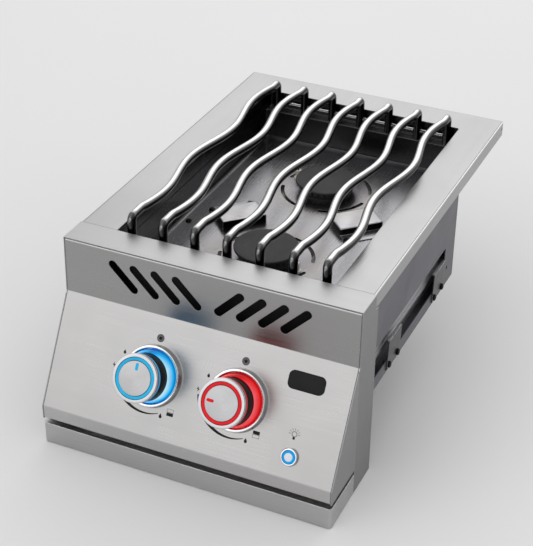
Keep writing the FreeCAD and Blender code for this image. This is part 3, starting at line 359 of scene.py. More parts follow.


# Silver knob face: fine circles round the knob's own axis; the middle disc is darker than the annulus round
# it, and the cap's sides are painted darker than its face as painted shade
def turnedMetal(name, look, x):
    material, tree, shader, place = newMaterial(name)
    own = panelPlace(x, knobDown)
    centered = centerOn(tree, place, own)
    rings = useGroup(tree, turnedRings, {"Vector": centered, "Pitch": look["pitch"], "Streaks": 2.0})
    marks = useGroup(tree, handMarks, {"Vector": place, "Cloud Scale": 40.0})
    edges = addEdges(tree, place, look, 0.0004, 3.0, 0.3)
    color = addColorMix(tree, rings["Rings"], shaded(look["color"], 0.88), look["color"])
    spot = addNode(tree, "ShaderNodeSeparateXYZ", {0: centered})
    reach = addMath(tree, "SQRT", addMath(tree, "ADD", addMath(tree, "POWER", spot.outputs[0], 2.0),
                                          addMath(tree, "POWER", spot.outputs[1], 2.0)))
    level = addRemap(tree, reach, look["discIn"] * mm, look["discOut"] * mm, look["disc"], 1.0)
    shade = addNode(tree, "ShaderNodeCombineColor", {0: level, 1: level, 2: level})
    color = addColorMix(tree, 1.0, color, shade.outputs[0], "MULTIPLY")
    color = addFacing(tree, color, own.col[2].xyz, look["facing"])
    rough = addMath(tree, "ADD",
                    addRemap(tree, rings["Sheen"], 0, 1, look["roughness"], look["roughness"] + 0.06),
                    addMath(tree, "MULTIPLY", marks["Clouds"], 0.05))
    paintSurface(tree, shader, color, rough, (rings["Rings"], look["bump"], 0.0001, edges["Normal"]),
                 Metallic=1.0)
    return material


# Moulded plastic, print or glaze: fine grain, slight clouds and rubbed edges
def mouldedPlastic(name, look):
    material, tree, shader, place = newMaterial(name)
    grain = addNoise(tree, place, 2400.0, 2.0)
    marks = useGroup(tree, handMarks, {"Vector": place, "Cloud Scale": 45.0})
    edges = addEdges(tree, place, look, 0.0004, 4.0, 0.5)
    color = addColorMix(tree, marks["Clouds"], look["color"], look["second"])
    color = addColorMix(tree, addMath(tree, "MULTIPLY", edges["Edge"], 0.35), color,
                        look.get("rubbed", look["second"]))
    rough = addRemap(tree, grain, 0.3, 0.7, look["roughness"] - 0.05, look["roughness"] + 0.06)
    paintSurface(tree, shader, color, rough, (grain, 0.1, 0.0002, edges["Normal"]),
                 Coat_Weight=look.get("coat", 0.0), Specular_IOR_Level=look.get("specular", 0.5))
    return material


# Object coordinates turned and moved into a piece's own place
def centerOn(tree, place, center):
    mapping = addNode(tree, "ShaderNodeMapping", {"Vector": place, "Location": center.to_translation(),
                                                  "Rotation": center.to_euler()}, vector_type="TEXTURE")
    return mapping.outputs[0]


# Lit plastic: brightest in the middle of its height, deeper at the ends; where a reach is given, its flanks
# are also painted brighter than its top and bottom, a painted reflection in the lens
def litLens(name, look, center):
    material, tree, shader, place = newMaterial(name)
    parts = addNode(tree, "ShaderNodeSeparateXYZ", {0: centerOn(tree, place, center)})
    rise = addLevel(tree, parts.outputs[2], look["low"], look["high"])
    if look.get("glowAndReflectionReach"):
        flank = addMath(tree, "ABSOLUTE", parts.outputs[0])
        rise = addMath(tree, "MULTIPLY", rise,
                       addRemap(tree, flank, 0.0, look["glowAndReflectionReach"], look["far"], 1.0))
    ramp = tree.nodes.new("ShaderNodeValToRGB")
    tree.links.new(rise, ramp.inputs[0])
    stops = ramp.color_ramp.elements
    stops[0].position, stops[0].color = 0.0, look["deep"]
    stops[1].position, stops[1].color = 1.0, look["tip"]
    stops.new(look.get("middle", 0.5)).color = look["bright"]
    marks = useGroup(tree, handMarks, {"Vector": place, "Cloud Scale": 60.0})
    clouds = addMath(tree, "MULTIPLY", marks["Clouds"], 0.25)
    setInputs(tree, shader, {
        "Emission Color": addColorMix(tree, clouds, ramp.outputs[0], look["deep"]), "Base Color": grey(0.01),
        "Specular IOR Level": 0.06, "Emission Strength": look["strength"], "Roughness": 0.25})
    return material


def printInk(name, look):
    material, tree, shader, place = newMaterial(name)
    grain = addNoise(tree, place, 3000.0, 3.0)
    color = addColorMix(tree, addLevel(tree, grain, 0.35, 0.65), look["color"], look["second"])
    setInputs(tree, shader, {"Base Color": color, "Roughness": addRemap(tree, grain, 0.3, 0.7, 0.5, 0.65),
                             "Specular IOR Level": 0.2})
    return material


# Painted shade: upright and downward faces of a piece are painted darker than its tops, by the given level
def risen(level, low=0.15, high=0.5):
    return [((0, 0, 1), [(low, level), (high, 1.0)])]


# Levels of the painted bands: at the flange's side edges a dark painted shadow line beside a bright painted
# highlight band, and along the foot of the fascia a painted highlight that lightens its lower lip
flangeShadowAndHighlight = {"axis": "x", "low": 162.0 * mm, "high": 165.0 * mm,
             "stops": [(162.0 * mm, 0.50), (162.1 * mm, 0.12), (162.7 * mm, 0.12), (162.8 * mm, 1.0),
                       (164.2 * mm, 1.0), (164.3 * mm, 0.50)]}
fasciaFootHighlight = {"axis": "z", "low": 150.0 * mm, "high": 160.0 * mm,
             "stops": [(155.6 * mm, 1.0), (156.0 * mm, 1.5)]}
# Painted light and shade: the sheet steel parts are one steel, and their base greys differ part by part as
# painted light and shade, brightest on the top frame and darkest on the body sides and bottom pan; the
# upright-face levels paint a piece's upright faces darker than its tops
steelLooks = {
    "topSteel": {"along": "y", "color": grey(0.88), "roughness": 0.30, "depth": 0.05, "edgeGain": 0.0,
                 "facing": risen(0.42), "shadeBands": flangeShadowAndHighlight},
    "stripSteel": {"along": "x", "color": grey(0.50), "facing": risen(0.54), "roughness": 0.40,
                   "depth": 0.05},
    "fasciaSteel": {"along": "x", "color": (0.430, 0.424, 0.422, 1), "facing": risen(0.80), "roughness": 0.29,
                    "depth": 0.03, "bump": 0.07, "shadeBands": fasciaFootHighlight},
    "cheekSteel": {"along": "z", "color": grey(0.31), "roughness": 0.36},
    # Painted highlight: the trim's edges are lightened to near white, a painted bright line
    "trimSteel": {"along": "x", "color": grey(0.48), "roughness": 0.36, "edge": 0.0009,
                  "wornAndHighlightEdgeColor": grey(0.95)},
    "traySteel": {"along": "y", "color": (0.50, 0.49, 0.51, 1), "roughness": 0.25, "heat": 0.085,
                  "heatMix": 0.6, "facing": risen(0.15, 0.9, 0.997), "depth": 0.04, "bump": 0.02,
                  "grain": 0.02, "edgeGain": 0.3},
    "bodySteel": {"along": "y", "color": (0.155, 0.148, 0.166, 1), "roughness": 0.42, "metallic": 0.9,
                  "marks": 0.1},
    # Painted shade: faces of the bottom pan turned to the front are painted almost black
    "panSteel": {"along": "y", "color": (0.155, 0.148, 0.166, 1), "roughness": 0.42, "metallic": 0.9,
                 "facing": [((0, -1, 0), [(0.5, 1.0), (0.9, 0.04)])]},
    "linerSteel": {"along": "y", "color": (0.36, 0.35, 0.37, 1), "roughness": 0.40, "metallic": 0.35,
                   "edge": 0.0004},
    # Painted shade: the heat shield is near black, a dark sheet standing in for the shade seen through the
    # burner slots
    "shieldShadeBlack": {"along": "x", "color": grey(0.012), "roughness": 0.7, "metallic": 0.2},
    # Painted light and shade: the brackets' upright plates are painted dark, and their edges carry a painted
    # highlight
    "bracketSteel": {"along": "z", "color": (0.85, 0.83, 0.88, 1), "roughness": 0.36, "edge": 0.0005,
                     "wornAndHighlightEdgeColor": grey(0.60), "facing": risen(0.13)},
    "hoodSteel": {"along": "x", "color": (0.70, 0.69, 0.71, 1), "roughness": 0.28, "heat": 0.11,
                  "heatMix": 0.5, "facing": risen(0.05), "bump": 0.04, "grain": 0.02},
    "railSteel": {"along": "x", "color": grey(0.50), "roughness": 0.33},
    # Painted shade: screws, bolts and igniter wires are near black, standing in for the dark they reflect,
    # with painted highlights on their edges
    "boltSteel": {"along": "z", "color": (0.012, 0.011, 0.013, 1), "roughness": 0.30, "edge": 0.0002,
                  "wornAndHighlightEdgeColor": grey(0.30)},
}
steels = {name: brushedSteel(name, look) for name, look in steelLooks.items()}

castLooks = {
    # The caps' and heads' edges are lightened partly as wear and partly as painted highlight
    "capEnamel": {"color": (0.020, 0.019, 0.022, 1), "second": (0.032, 0.031, 0.035, 1), "roughness": 0.52,
                  "grain": 1800.0, "bump": 0.25, "wornAndHighlightEdgeShare": 0.25, "wornAndHighlightEdgeColor": grey(0.25), "specks": 0.12},
    "headIron": {"color": grey(0.030), "second": grey(0.055), "roughness": 0.5, "metallic": 0.6, "wornAndHighlightEdgeShare": 0.5,
                 "wornAndHighlightEdgeColor": grey(0.22)},
    "bowlCast": {"color": grey(0.42), "second": grey(0.34), "roughness": 0.46, "metallic": 0.9,
                 "grain": 900.0},
}
casts = {name: castMetal(name, look) for name, look in castLooks.items()}

polishedLooks = {
    # Painted highlight and shade: the rods are painted bright on their upper left and dark on their lower
    # right, with a thin painted highlight line low on the right, and their bends painted dark with painted
    # bright streaks on the legs' fronts and backs
    "rodPolish": {"color": grey(0.86), "roughness": 0.14, "stretch": (900, 40, 900), "bump": 0.04,
                  "facing": [((-0.45, 0, 0.893), [(-0.7, 0.06), (-0.5, 0.11), (-0.15, 0.05), (0.08, 0.08),
                                                  (0.2, 0.32), (0.32, 0.26), (0.46, 0.42), (0.68, 0.80),
                                                  (0.85, 0.92)]),
                             ((0, 1, 0), [(-0.96, 1.4), (-0.82, 0.20), (-0.42, 0.20), (-0.26, 1.0),
                                          (0.26, 1.0), (0.42, 0.20), (0.82, 0.20), (0.96, 1.4)])]},
    # Painted reflection: faces of the bezels turned to the right are painted darker
    "bezelChrome": {"color": (0.86, 0.86, 0.88, 1), "roughness": 0.15,
                    "facing": [((1, 0, 0), [(0.0, 1.0), (0.3, 0.52), (0.75, 0.45), (1.0, 0.60)])]},
    "gasBrass": {"color": (0.72, 0.50, 0.22, 1), "roughness": 0.26, "stretch": (1600, 60, 1600),
                 "bump": 0.08},
    "tubeAlloy": {"color": grey(0.62), "roughness": 0.24, "stretch": (1200, 60, 60), "bump": 0.06},
}
polished = {name: polishedMetal(name, look) for name, look in polishedLooks.items()}

plasticLooks = {
    "gripBlack": {"color": grey(0.003), "second": grey(0.005), "roughness": 0.42, "rubbed": grey(0.02),
                  "specular": 0.1},
    "switchBlack": {"color": grey(0.016), "second": grey(0.028), "roughness": 0.5, "rubbed": grey(0.08)},
    "buttonPale": {"color": (0.80, 0.84, 0.88, 1), "second": (0.72, 0.77, 0.83, 1), "roughness": 0.3,
                   "coat": 0.3},
    "ceramicGlaze": {"color": (0.78, 0.75, 0.68, 1), "second": (0.66, 0.60, 0.50, 1), "roughness": 0.22,
                     "coat": 0.4, "rubbed": (0.35, 0.28, 0.20, 1)},
    "badgeEnamel": {"color": grey(0.004), "second": grey(0.007), "roughness": 0.34, "coat": 0.05,
                    "specular": 0.15, "rubbed": grey(0.25)},
}
plastics = {name: mouldedPlastic(name, look) for name, look in plasticLooks.items()}
inkBlack = printInk("inkBlack", {"color": grey(0.006), "second": grey(0.014)})
inkGrey = printInk("inkGrey", {"color": grey(0.10), "second": grey(0.14)})

# Painted shade: the facing stops paint the caps' sides, across the knob's axis, darker than their faces
knobLook = {"color": (0.60, 0.60, 0.61, 1), "roughness": 0.27, "pitch": 2600.0, "bump": 0.10, "disc": 0.76,
            "discIn": 19.0, "discOut": 20.0, "facing": [(0.1, 0.42), (0.6, 1.0)]}
knobSilver = {side: turnedMetal("knobSilver" + side, knobLook, x) for side, x in knobPlaces.items()}

glowLooks = {
    "left": {"deep": (0.00, 0.07, 0.40, 1), "bright": (0.00, 0.44, 0.88, 1), "tip": (0.55, 0.86, 0.95, 1),
             "ring": (0.03, 0.58, 0.90, 1)},
    "right": {"deep": (0.30, 0.001, 0.002, 1), "bright": (0.80, 0.008, 0.012, 1),
              "tip": (0.84, 0.12, 0.14, 1), "ring": (0.88, 0.014, 0.022, 1)},
}
glowRings = {}
glowCones = {}
for side, x in knobPlaces.items():
    look = dict(glowLooks[side], low=3.5 * mm, high=18.5 * mm, strength=1.0, middle=0.35, glowAndReflectionReach=22 * mm,
                far=0.15)
    glowCones[side] = litLens("glowCone" + side, look, panelPlace(x, knobDown))
    flat = dict(glowLooks[side], bright=glowLooks[side]["ring"], low=26.0 * mm, high=66.0 * mm, strength=0.95)
    glowRings[side] = litLens("glowRing" + side, flat, panelPlace(x, knobDown))
buttonPlace = panelPlace(114.4 * mm, 102.9 * mm)
buttonGlow = litLens("glowButton", {"deep": (0.00, 0.16, 0.60, 1), "bright": (0.00, 0.33, 0.76, 1),
                                    "tip": (0.00, 0.33, 0.76, 1), "low": 0.0, "high": 5.0 * mm,
                                    "strength": 1.0},
                     buttonPlace)
print("materials ready")

# Meshes: each new piece is one plain mesh at the origin, on its body and in place of its CAD node

# Corners are (a, b) or (a, b, radius)
def roundedOutline(corners, steps=4, closed=False):
    points = []
    count = len(corners)
    for index, corner in enumerate(corners):
        here = Vector(corner[:2])
        radius = corner[2] if len(corner) > 2 else 0.0
        if radius <= 0 or (not closed and index in (0, count - 1)):
            points.append(here)
            continue
        back = (Vector(corners[index - 1][:2]) - here).normalized()
        ahead = (Vector(corners[(index + 1) % count][:2]) - here).normalized()
        half = back.angle(ahead) / 2
        middle = here + (back + ahead).normalized() * (radius / math.sin(half))
        start = here + back * (radius / math.tan(half)) - middle
        end = here + ahead * (radius / math.tan(half)) - middle
        sweep = math.atan2(start.x * end.y - start.y * end.x, start.dot(end))
        points += [middle + Matrix.Rotation(sweep * step / steps, 2) @ start for step in range(steps + 1)]
    return points


def onCircle(reach, angle):
    return Vector((reach * math.cos(angle), reach * math.sin(angle)))


def addRing(bm, points, place):
    return [bm.verts.new(place @ Vector(point)) for point in points]


# Ring of a flat loop in mm at one height
def addLoop(bm, loop, height, place=Matrix()):
    return addRing(bm, [(p[0] * mm, p[1] * mm, height * mm) for p in loop], place)


def joinRings(bm, rings, closed=False, material=0):
    pairs = list(zip(rings, rings[1:])) + ([(rings[-1], rings[0])] if closed else [])
    for first, second in pairs:
        steps = max(len(first), len(second))
        for k in range(steps):
            m = (k + 1) % steps
            corners = [first[k % len(first)], first[m % len(first)], second[m % len(second)],
                       second[k % len(second)]]
            corners = list(dict.fromkeys(corners))
            if len(corners) > 2:
                bm.faces.new(corners).material_index = material


# Solid from stacked loops, closed at its first and last ring
def stackLoops(bm, loops, place):
    rings = [addLoop(bm, loop, height, place) for loop, height in loops]
    joinRings(bm, rings)
    bm.faces.new(rings[0])
    bm.faces.new(rings[-1])


# Turns an outline of (radius, height) in mm round the place's own Z
def lathe(bm, outline, place, steps=96, closed=False, material=0):
    rings = []
    for reach, height in outline:
        loop = [onCircle(reach, math.tau * k / steps) for k in range(steps if reach > 1e-6 else 1)]
        rings.append(addLoop(bm, loop, height, place))
    joinRings(bm, rings, closed, material)
    return rings


# Loop round a rectangle with round corners, in mm
def rectLoop(half, low, high, radius, steps=6):
    corners = [(half, low, radius), (half, high, radius), (-half, high, radius), (-half, low, radius)]
    return roundedOutline(corners, steps, closed=True)


def discLoop(x, y, radius, steps=48):
    return [Vector((x, y)) + onCircle(radius, math.tau * k / steps) for k in range(steps)]


# Flat plate between an outer loop of vertices and its holes
def fillPlate(bm, loops, material=0):
    verts = [vert for loop in loops for vert in loop]
    for triangle in tessellate_polygon([[vert.co for vert in loop] for loop in loops]):
        bm.faces.new([verts[index] for index in triangle]).material_index = material


# Thin flat solid from loops in mm: the first is the outside, the others are holes
def addPrint(bm, loops, place, low, high, material=0):
    tops = [addLoop(bm, loop, high, place) for loop in loops]
    feet = [addLoop(bm, loop, low, place) for loop in loops]
    fillPlate(bm, tops, material)
    fillPlate(bm, feet, material)
    for top, foot in zip(tops, feet):
        joinRings(bm, [top, foot], material=material)


def cleanNormals(bm):
    bmesh.ops.remove_doubles(bm, verts=bm.verts, dist=0.002 * mm)
    bmesh.ops.dissolve_degenerate(bm, edges=bm.edges, dist=0.001 * mm)
    bmesh.ops.recalc_face_normals(bm, faces=bm.faces)


# Gives an open shell its wall: the faces seen from above or outside stay where they are
def thicken(bm, depth):
    cleanNormals(bm)
    if sum(face.normal.z * face.calc_area() for face in bm.faces) < 0:
        bmesh.ops.reverse_faces(bm, faces=bm.faces)
    mesh = bpy.data.meshes.new("shell")
    bm.to_mesh(mesh)
    bm.free()
    holder = addObject("shell", mesh)
    wall = holder.modifiers.new("wall", "SOLIDIFY")
    wall.thickness = depth
    wall.offset = -1
    wall.use_even_offset = True
    graph = bpy.context.evaluated_depsgraph_get()
    result = bmesh.new()
    result.from_mesh(bpy.data.meshes.new_from_object(holder.evaluated_get(graph), depsgraph=graph))
    bpy.data.objects.remove(holder)
    return result


def addPiece(name, bm, materials, body, nodes=(), sharp=32.0):
    cleanNormals(bm)
    limit = math.radians(sharp)
    for face in bm.faces:
        face.smooth = True
    for edge in bm.edges:
        edge.smooth = len(edge.link_faces) == 2 and edge.calc_face_angle(0.0) < limit
    mesh = bpy.data.meshes.new(name)
    bm.to_mesh(mesh)
    bm.free()
    for material in materials:
        mesh.materials.append(material)
    piece = addObject(name, mesh)
    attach(piece, body)
    if nodes:
        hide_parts(*nodes)
    return piece


# Geometry Nodes: a tree with named inputs, baked to a plain mesh
def newMaker(name, inputs, takesMesh=False):
    tree = bpy.data.node_groups.new(name, "GeometryNodeTree")
    if takesMesh:
        tree.interface.new_socket("Geometry", in_out="INPUT", socket_type="NodeSocketGeometry")
    for label, kind in inputs:
        tree.interface.new_socket(label, in_out="INPUT", socket_type="NodeSocket" + kind)
    tree.interface.new_socket("Geometry", in_out="OUTPUT", socket_type="NodeSocketGeometry")
    return tree, tree.nodes.new("NodeGroupInput").outputs, tree.nodes.new("NodeGroupOutput").inputs


def finishMaker(tree, shape, material, result):
    real = addNode(tree, "GeometryNodeRealizeInstances", {0: shape})
    painted = addNode(tree, "GeometryNodeSetMaterial", {"Geometry": real.outputs[0], "Material": material})
    tree.links.new(painted.outputs[0], result[0])


def runMaker(tree, values, points=None):
    holder = addObject("maker", points or bpy.data.meshes.new("maker"))
    modifier = holder.modifiers.new("maker", "NODES")
    modifier.node_group = tree
    for item in tree.interface.items_tree:
        if item.in_out == "INPUT" and item.name in values:
            modifier[item.identifier] = values[item.name]
    graph = bpy.context.evaluated_depsgraph_get()
    mesh = bpy.data.meshes.new_from_object(holder.evaluated_get(graph), depsgraph=graph)
    bpy.data.objects.remove(holder)
    bm = bmesh.new()
    bm.from_mesh(mesh)
    return bm


def addVector(tree, x, y, z):
    return addNode(tree, "ShaderNodeCombineXYZ", {0: x, 1: y, 2: z}).outputs[0]


def pickValue(tree, test, no, yes):
    return addNode(tree, "GeometryNodeSwitch", {"Switch": test, "False": no, "True": yes},
                   input_type="FLOAT").outputs[0]


# Grate: one wavy rod with its legs, copied side by side, and two cross bars low between the legs
grateLook = {
    "Rods": 7, "Pitch": 36.4 * mm, "Rod Radius": 4.75 * mm, "Front": 2.5 * mm, "Rear": 367.5 * mm,
    "Foot": -3.3 * mm, "Top": 31.7 * mm, "Bend": 5.8 * mm, "Wave Start": 22.0 * mm, "Wave Half": 82.5 * mm,
    "Wave Reach": 5.85 * mm, "Fade From": 1.90, "Fade To": 2.06, "Bar Radius": 2.6 * mm,
    "Bar Height": 6.4 * mm, "Step": 1.5 * mm,
}


def buildGrateTree():
    kinds = [(name, "Int" if name == "Rods" else "Float") for name in grateLook]
    tree, given, result = newMaker("wavyGrate", kinds + [("Finish", "Material")])
    index = tree.nodes.new("GeometryNodeInputIndex").outputs[0]
    line = addNode(tree, "GeometryNodeCurvePrimitiveLine", {"Start": (0, 0, 0), "End": (0, 1, 0)})
    four = addNode(tree, "GeometryNodeResampleCurve", {"Curve": line.outputs[0], "Count": 4})
    isRear = addMath(tree, "GREATER_THAN", index, 1.5)
    isEnd = addMath(tree, "GREATER_THAN", addMath(tree, "ABSOLUTE", addMath(tree, "SUBTRACT", index, 1.5)),
                    1.0)
    corner = addVector(tree, 0.0, pickValue(tree, isRear, given["Front"], given["Rear"]),
                       pickValue(tree, isEnd, given["Top"], given["Foot"]))
    leg = addNode(tree, "GeometryNodeSetPosition", {"Geometry": four.outputs[0], "Position": corner})
    bent = addNode(tree, "GeometryNodeFilletCurve", {"Curve": leg.outputs[0], "Radius": given["Bend"],
                                                     "Count": 12},
                   mode="POLY")
    fine = addNode(tree, "GeometryNodeResampleCurve", {"Curve": bent.outputs[0], "Length": given["Step"]},
                   mode="LENGTH")
    place = addNode(tree, "ShaderNodeSeparateXYZ",
                    {0: tree.nodes.new("GeometryNodeInputPosition").outputs[0]})
    run = addMath(tree, "DIVIDE", addMath(tree, "SUBTRACT", place.outputs[1], given["Wave Start"]),
                  given["Wave Half"])
    wave = addMath(tree, "MULTIPLY", addMath(tree, "SINE", addMath(tree, "MULTIPLY", run, math.pi)),
                   given["Wave Reach"])
    away = addMath(tree, "ABSOLUTE", addMath(tree, "SUBTRACT", run, 2.0))
    fade = addNode(tree, "ShaderNodeMapRange", {"Value": away, "From Min": given["Fade From"],
                                                "From Max": given["Fade To"], "To Min": 1.0,
                                                "To Max": 0.0},
                   interpolation_type="SMOOTHSTEP")
    shift = addVector(tree, addMath(tree, "MULTIPLY", wave, fade.outputs[0]), 0.0, 0.0)
    waved = addNode(tree, "GeometryNodeSetPosition", {"Geometry": fine.outputs[0], "Offset": shift})
    section = addNode(tree, "GeometryNodeCurvePrimitiveCircle",
                      {"Radius": given["Rod Radius"], "Resolution": 22})
    rod = addNode(tree, "GeometryNodeCurveToMesh", {"Curve": waved.outputs[0],
                                                    "Profile Curve": section.outputs[0],
                                                    "Fill Caps": True})
    span = addMath(tree, "MULTIPLY", addMath(tree, "SUBTRACT", given["Rods"], 1.0), given["Pitch"])
    left = addMath(tree, "MULTIPLY", span, -0.5)
    row = addNode(tree, "GeometryNodeMeshLine", {"Count": given["Rods"],
                                                 "Start Location": addVector(tree, left, 0.0, 0.0),
                                                 "Offset": addVector(tree, given["Pitch"], 0.0, 0.0)})
    rods = addNode(tree, "GeometryNodeInstanceOnPoints",
                   {"Points": row.outputs[0], "Instance": rod.outputs[0]})
    bars = []
    for end in ("Front", "Rear"):
        ends = [addVector(tree, addMath(tree, "MULTIPLY", span, half), given[end], given["Bar Height"])
                for half in (-0.5, 0.5)]
        path = addNode(tree, "GeometryNodeCurvePrimitiveLine", {"Start": ends[0], "End": ends[1]})
        ring = addNode(tree, "GeometryNodeCurvePrimitiveCircle",
                       {"Radius": given["Bar Radius"], "Resolution": 14})
        bars.append(addNode(tree, "GeometryNodeCurveToMesh", {"Curve": path.outputs[0],
                                                              "Profile Curve": ring.outputs[0],
                                                              "Fill Caps": True}).outputs[0])
    join = tree.nodes.new("GeometryNodeJoinGeometry")
    for shape in [rods.outputs[0]] + bars:
        tree.links.new(shape, join.inputs[0])
    finishMaker(tree, join.outputs[0], given["Finish"], result)
    return tree


grate = runMaker(buildGrateTree(), dict(grateLook, Finish=polished["rodPolish"]))
addPiece("wavyGrate", grate, [polished["rodPolish"]], "grate",
         ["grate_rod_" + str(number) for number in range(1, 8)] + ["grate_bars"], sharp=50)
print("grate made")

# Burner tray: a pressed pan whose ledges at the front and rear carry the grate
trayLook = {
    "half": 122.0, "front": -5.8, "rear": 374.5, "rimZ": 15.5, "rim": 9.5, "lip": 0.8, "ledgeZ": -3.3,
    "ledge": 12.6, "ledgeIn": 2.0, "ledgeOut": 1.5, "floorZ": -40.9, "foot": 5.0, "corner": 3.0, "wall": 1.2,
    "step": 0.6, "floorCorner": 2.5, "burnerHole": 23.6, "slotReach": 51.0, "slotHalf": 2.1,
    "slotFirst": 14.0, "slotSweep": 62.0,
    "pinReach": 43.0, "pinAngle": -17.5, "pinHole": 3.8,
}


# Arched slot with round ends, in mm
def archLoop(y, first, look):
    reach, half, sweep = look["slotReach"], look["slotHalf"], look["slotSweep"]
    outer = [onCircle(reach + half, math.radians(first + sweep * k / 16)) for k in range(17)]
    inner = [onCircle(reach - half, math.radians(first + sweep * k / 16)) for k in range(16, -1, -1)]
    ends = [[onCircle(reach, math.radians(middle)) + onCircle(half, math.radians(middle + turn + 30 * k))
             for k in range(1, 6)] for middle, turn in ((first + sweep, 0), (first, 180))]
    return [point + Vector((0, y)) for point in outer + ends[0] + inner + ends[1]]


def buildTray(look):
    bm = bmesh.new()
    half, front, rear, corner = (look[key] for key in ("half", "front", "rear", "corner"))
    rows = [(look["rim"], look["rim"], 0.0, corner + look["rim"])]
    turn = [math.radians(30 * k) for k in range(4)]
    lip = look["lip"]
    rows += [(lip * (1 - math.sin(a)), lip * (1 - math.sin(a)), lip * (1 - math.cos(a)), corner)
             for a in turn]
    drop = look["rimZ"] - look["ledgeZ"]
    slip = 0.02  # each row below stands this much further in, so that no face has zero width
    side = -slip
    for a in turn:
        side -= slip
        rows.append((side, -look["ledgeIn"] * (1 - math.cos(a)), drop - look["ledgeIn"] * (1 - math.sin(a)),
                     corner))
    for a in turn:
        side -= slip
        rows.append((side, -look["ledge"] + look["ledgeOut"] * (1 - math.sin(a)),
                     drop + look["ledgeOut"] * (1 - math.cos(a)), corner))
    deep = look["rimZ"] - look["floorZ"]
    for k in range(7):
        a = math.radians(15 * k)
        inset = look["foot"] * (1 - math.cos(a))
        rows.append((side - slip - inset, -look["ledge"] - inset, deep - look["foot"] * (1 - math.sin(a)),
                     corner))
    rows.append((rows[-1][0] - look["step"], rows[-1][1] - look["step"], deep, look["floorCorner"]))
    rings = []
    for across, along, down, round in rows:
        loop = rectLoop(half + across, front - along, rear + along, round)
        rings.append(addLoop(bm, loop, look["rimZ"] - down))
    joinRings(bm, rings)
    holes = []
    for number, y in enumerate(burnerPlaces.values()):
        holes.append(discLoop(0, y / mm, look["burnerHole"], 64))
        holes += [archLoop(y / mm, look["slotFirst"] + 90 * k, look) for k in range(4)]
        a = math.radians(look["pinAngle"] + 180 * number)
        pin = Vector((0, y / mm)) + onCircle(look["pinReach"], a)
        holes.append(discLoop(pin.x, pin.y, look["pinHole"], 20))
    fillPlate(bm, [rings[-1]] + [addLoop(bm, hole, look["floorZ"]) for hole in holes])
    return thicken(bm, look["wall"] * mm)


addPiece("pressedTray", buildTray(trayLook), [steels["traySteel"]], "housing", ["burner_tray"])
print("tray made")

# Ridged guards behind the side windows, drawn along Y from one section
linerLook = {
    "reach": 154.6, "foot": -105.9, "front": 3.0, "rear": 250.0, "wall": 1.2,
    "section": [(6.0, 0.0), (6.0, 7.0, 1.5), (3.4, 12.0, 1.5), (3.4, 18.2, 0.8), (0.2, 19.6, 1.0),
                (0.2, 24.6, 1.4), (2.8, 25.6, 0.6), (2.8, 26.8, 0.6), (0.2, 27.8, 1.4), (0.2, 32.6, 1.4),
                (2.8, 33.6, 0.6), (2.8, 34.8, 0.6), (0.8, 35.8, 1.2), (0.8, 41.2, 1.6), (3.0, 42.4, 0.8),
                (3.0, 51.0, 2.0), (12.6, 61.6)],
}


def buildLiners(look):
    bm = bmesh.new()
    for side in (-1, 1):
        back = [(corner[0] + look["wall"],) + tuple(corner[1:]) for corner in reversed(look["section"])]
        outline = roundedOutline(look["section"] + back, 4, closed=True)
        ends = [addRing(bm, [(side * (look["reach"] - p.x) * mm, y * mm, (look["foot"] + p.y) * mm)
                             for p in outline], Matrix()) for y in (look["front"], look["rear"])]
        joinRings(bm, ends)
        for end in ends:
            fillPlate(bm, [end])
    return bm


addPiece("windowLiners", buildLiners(linerLook), [steels["linerSteel"]], "housing",
         ["side_liners"])
print("window guards made")

# Burner caps, turned with a soft edge and a skirt inside the head
capLook = {
    "outline": [(0, -26.25), (30.0, -26.3), (35.6, -26.5, 0.9), (35.6, -29.3, 0.7), (28.7, -29.3),
                (28.7, -30.5), (26.7, -30.5), (26.7, -29.3), (0, -29.3)],
}
for place, y in burnerPlaces.items():
    bm = bmesh.new()
    lathe(bm, roundedOutline(capLook["outline"]), Matrix.Translation((0, y, 0)), 128)
    addPiece("burnerCap" + place.capitalize(), bm, [casts["capEnamel"]], "cap_" + place,
             ["burner_cap_" + place])

# Folded hoods over the igniters, with a flange that two screws hold down
hoodLook = {
    "spot": (62.0, 21.0), "half": 26.0, "deep": 17.0, "height": 9.6, "bend": 1.8, "corner": 2.6, "wall": 1.0,
    "flange": 16.0, "flangeCorner": 3.0, "smallCorner": 0.4, "lap": 1.5, "lift": 0.05, "screwHalf": 23.0,
    "screwOut": 10.7, "screwHole": 1.8,
}
hoodMiddle = (burnerPlaces["front"] + burnerPlaces["rear"]) / 2


def hoodMatrix(number):
    side = (-1, 1)[number]
    spot = Vector((side * hoodLook["spot"][0] * mm, hoodMiddle + side * hoodLook["spot"][1] * mm,
                   floorHeight))
    return Matrix.Translation(spot) @ Matrix.Rotation(math.radians(45 + 180 * number), 4, "Z")


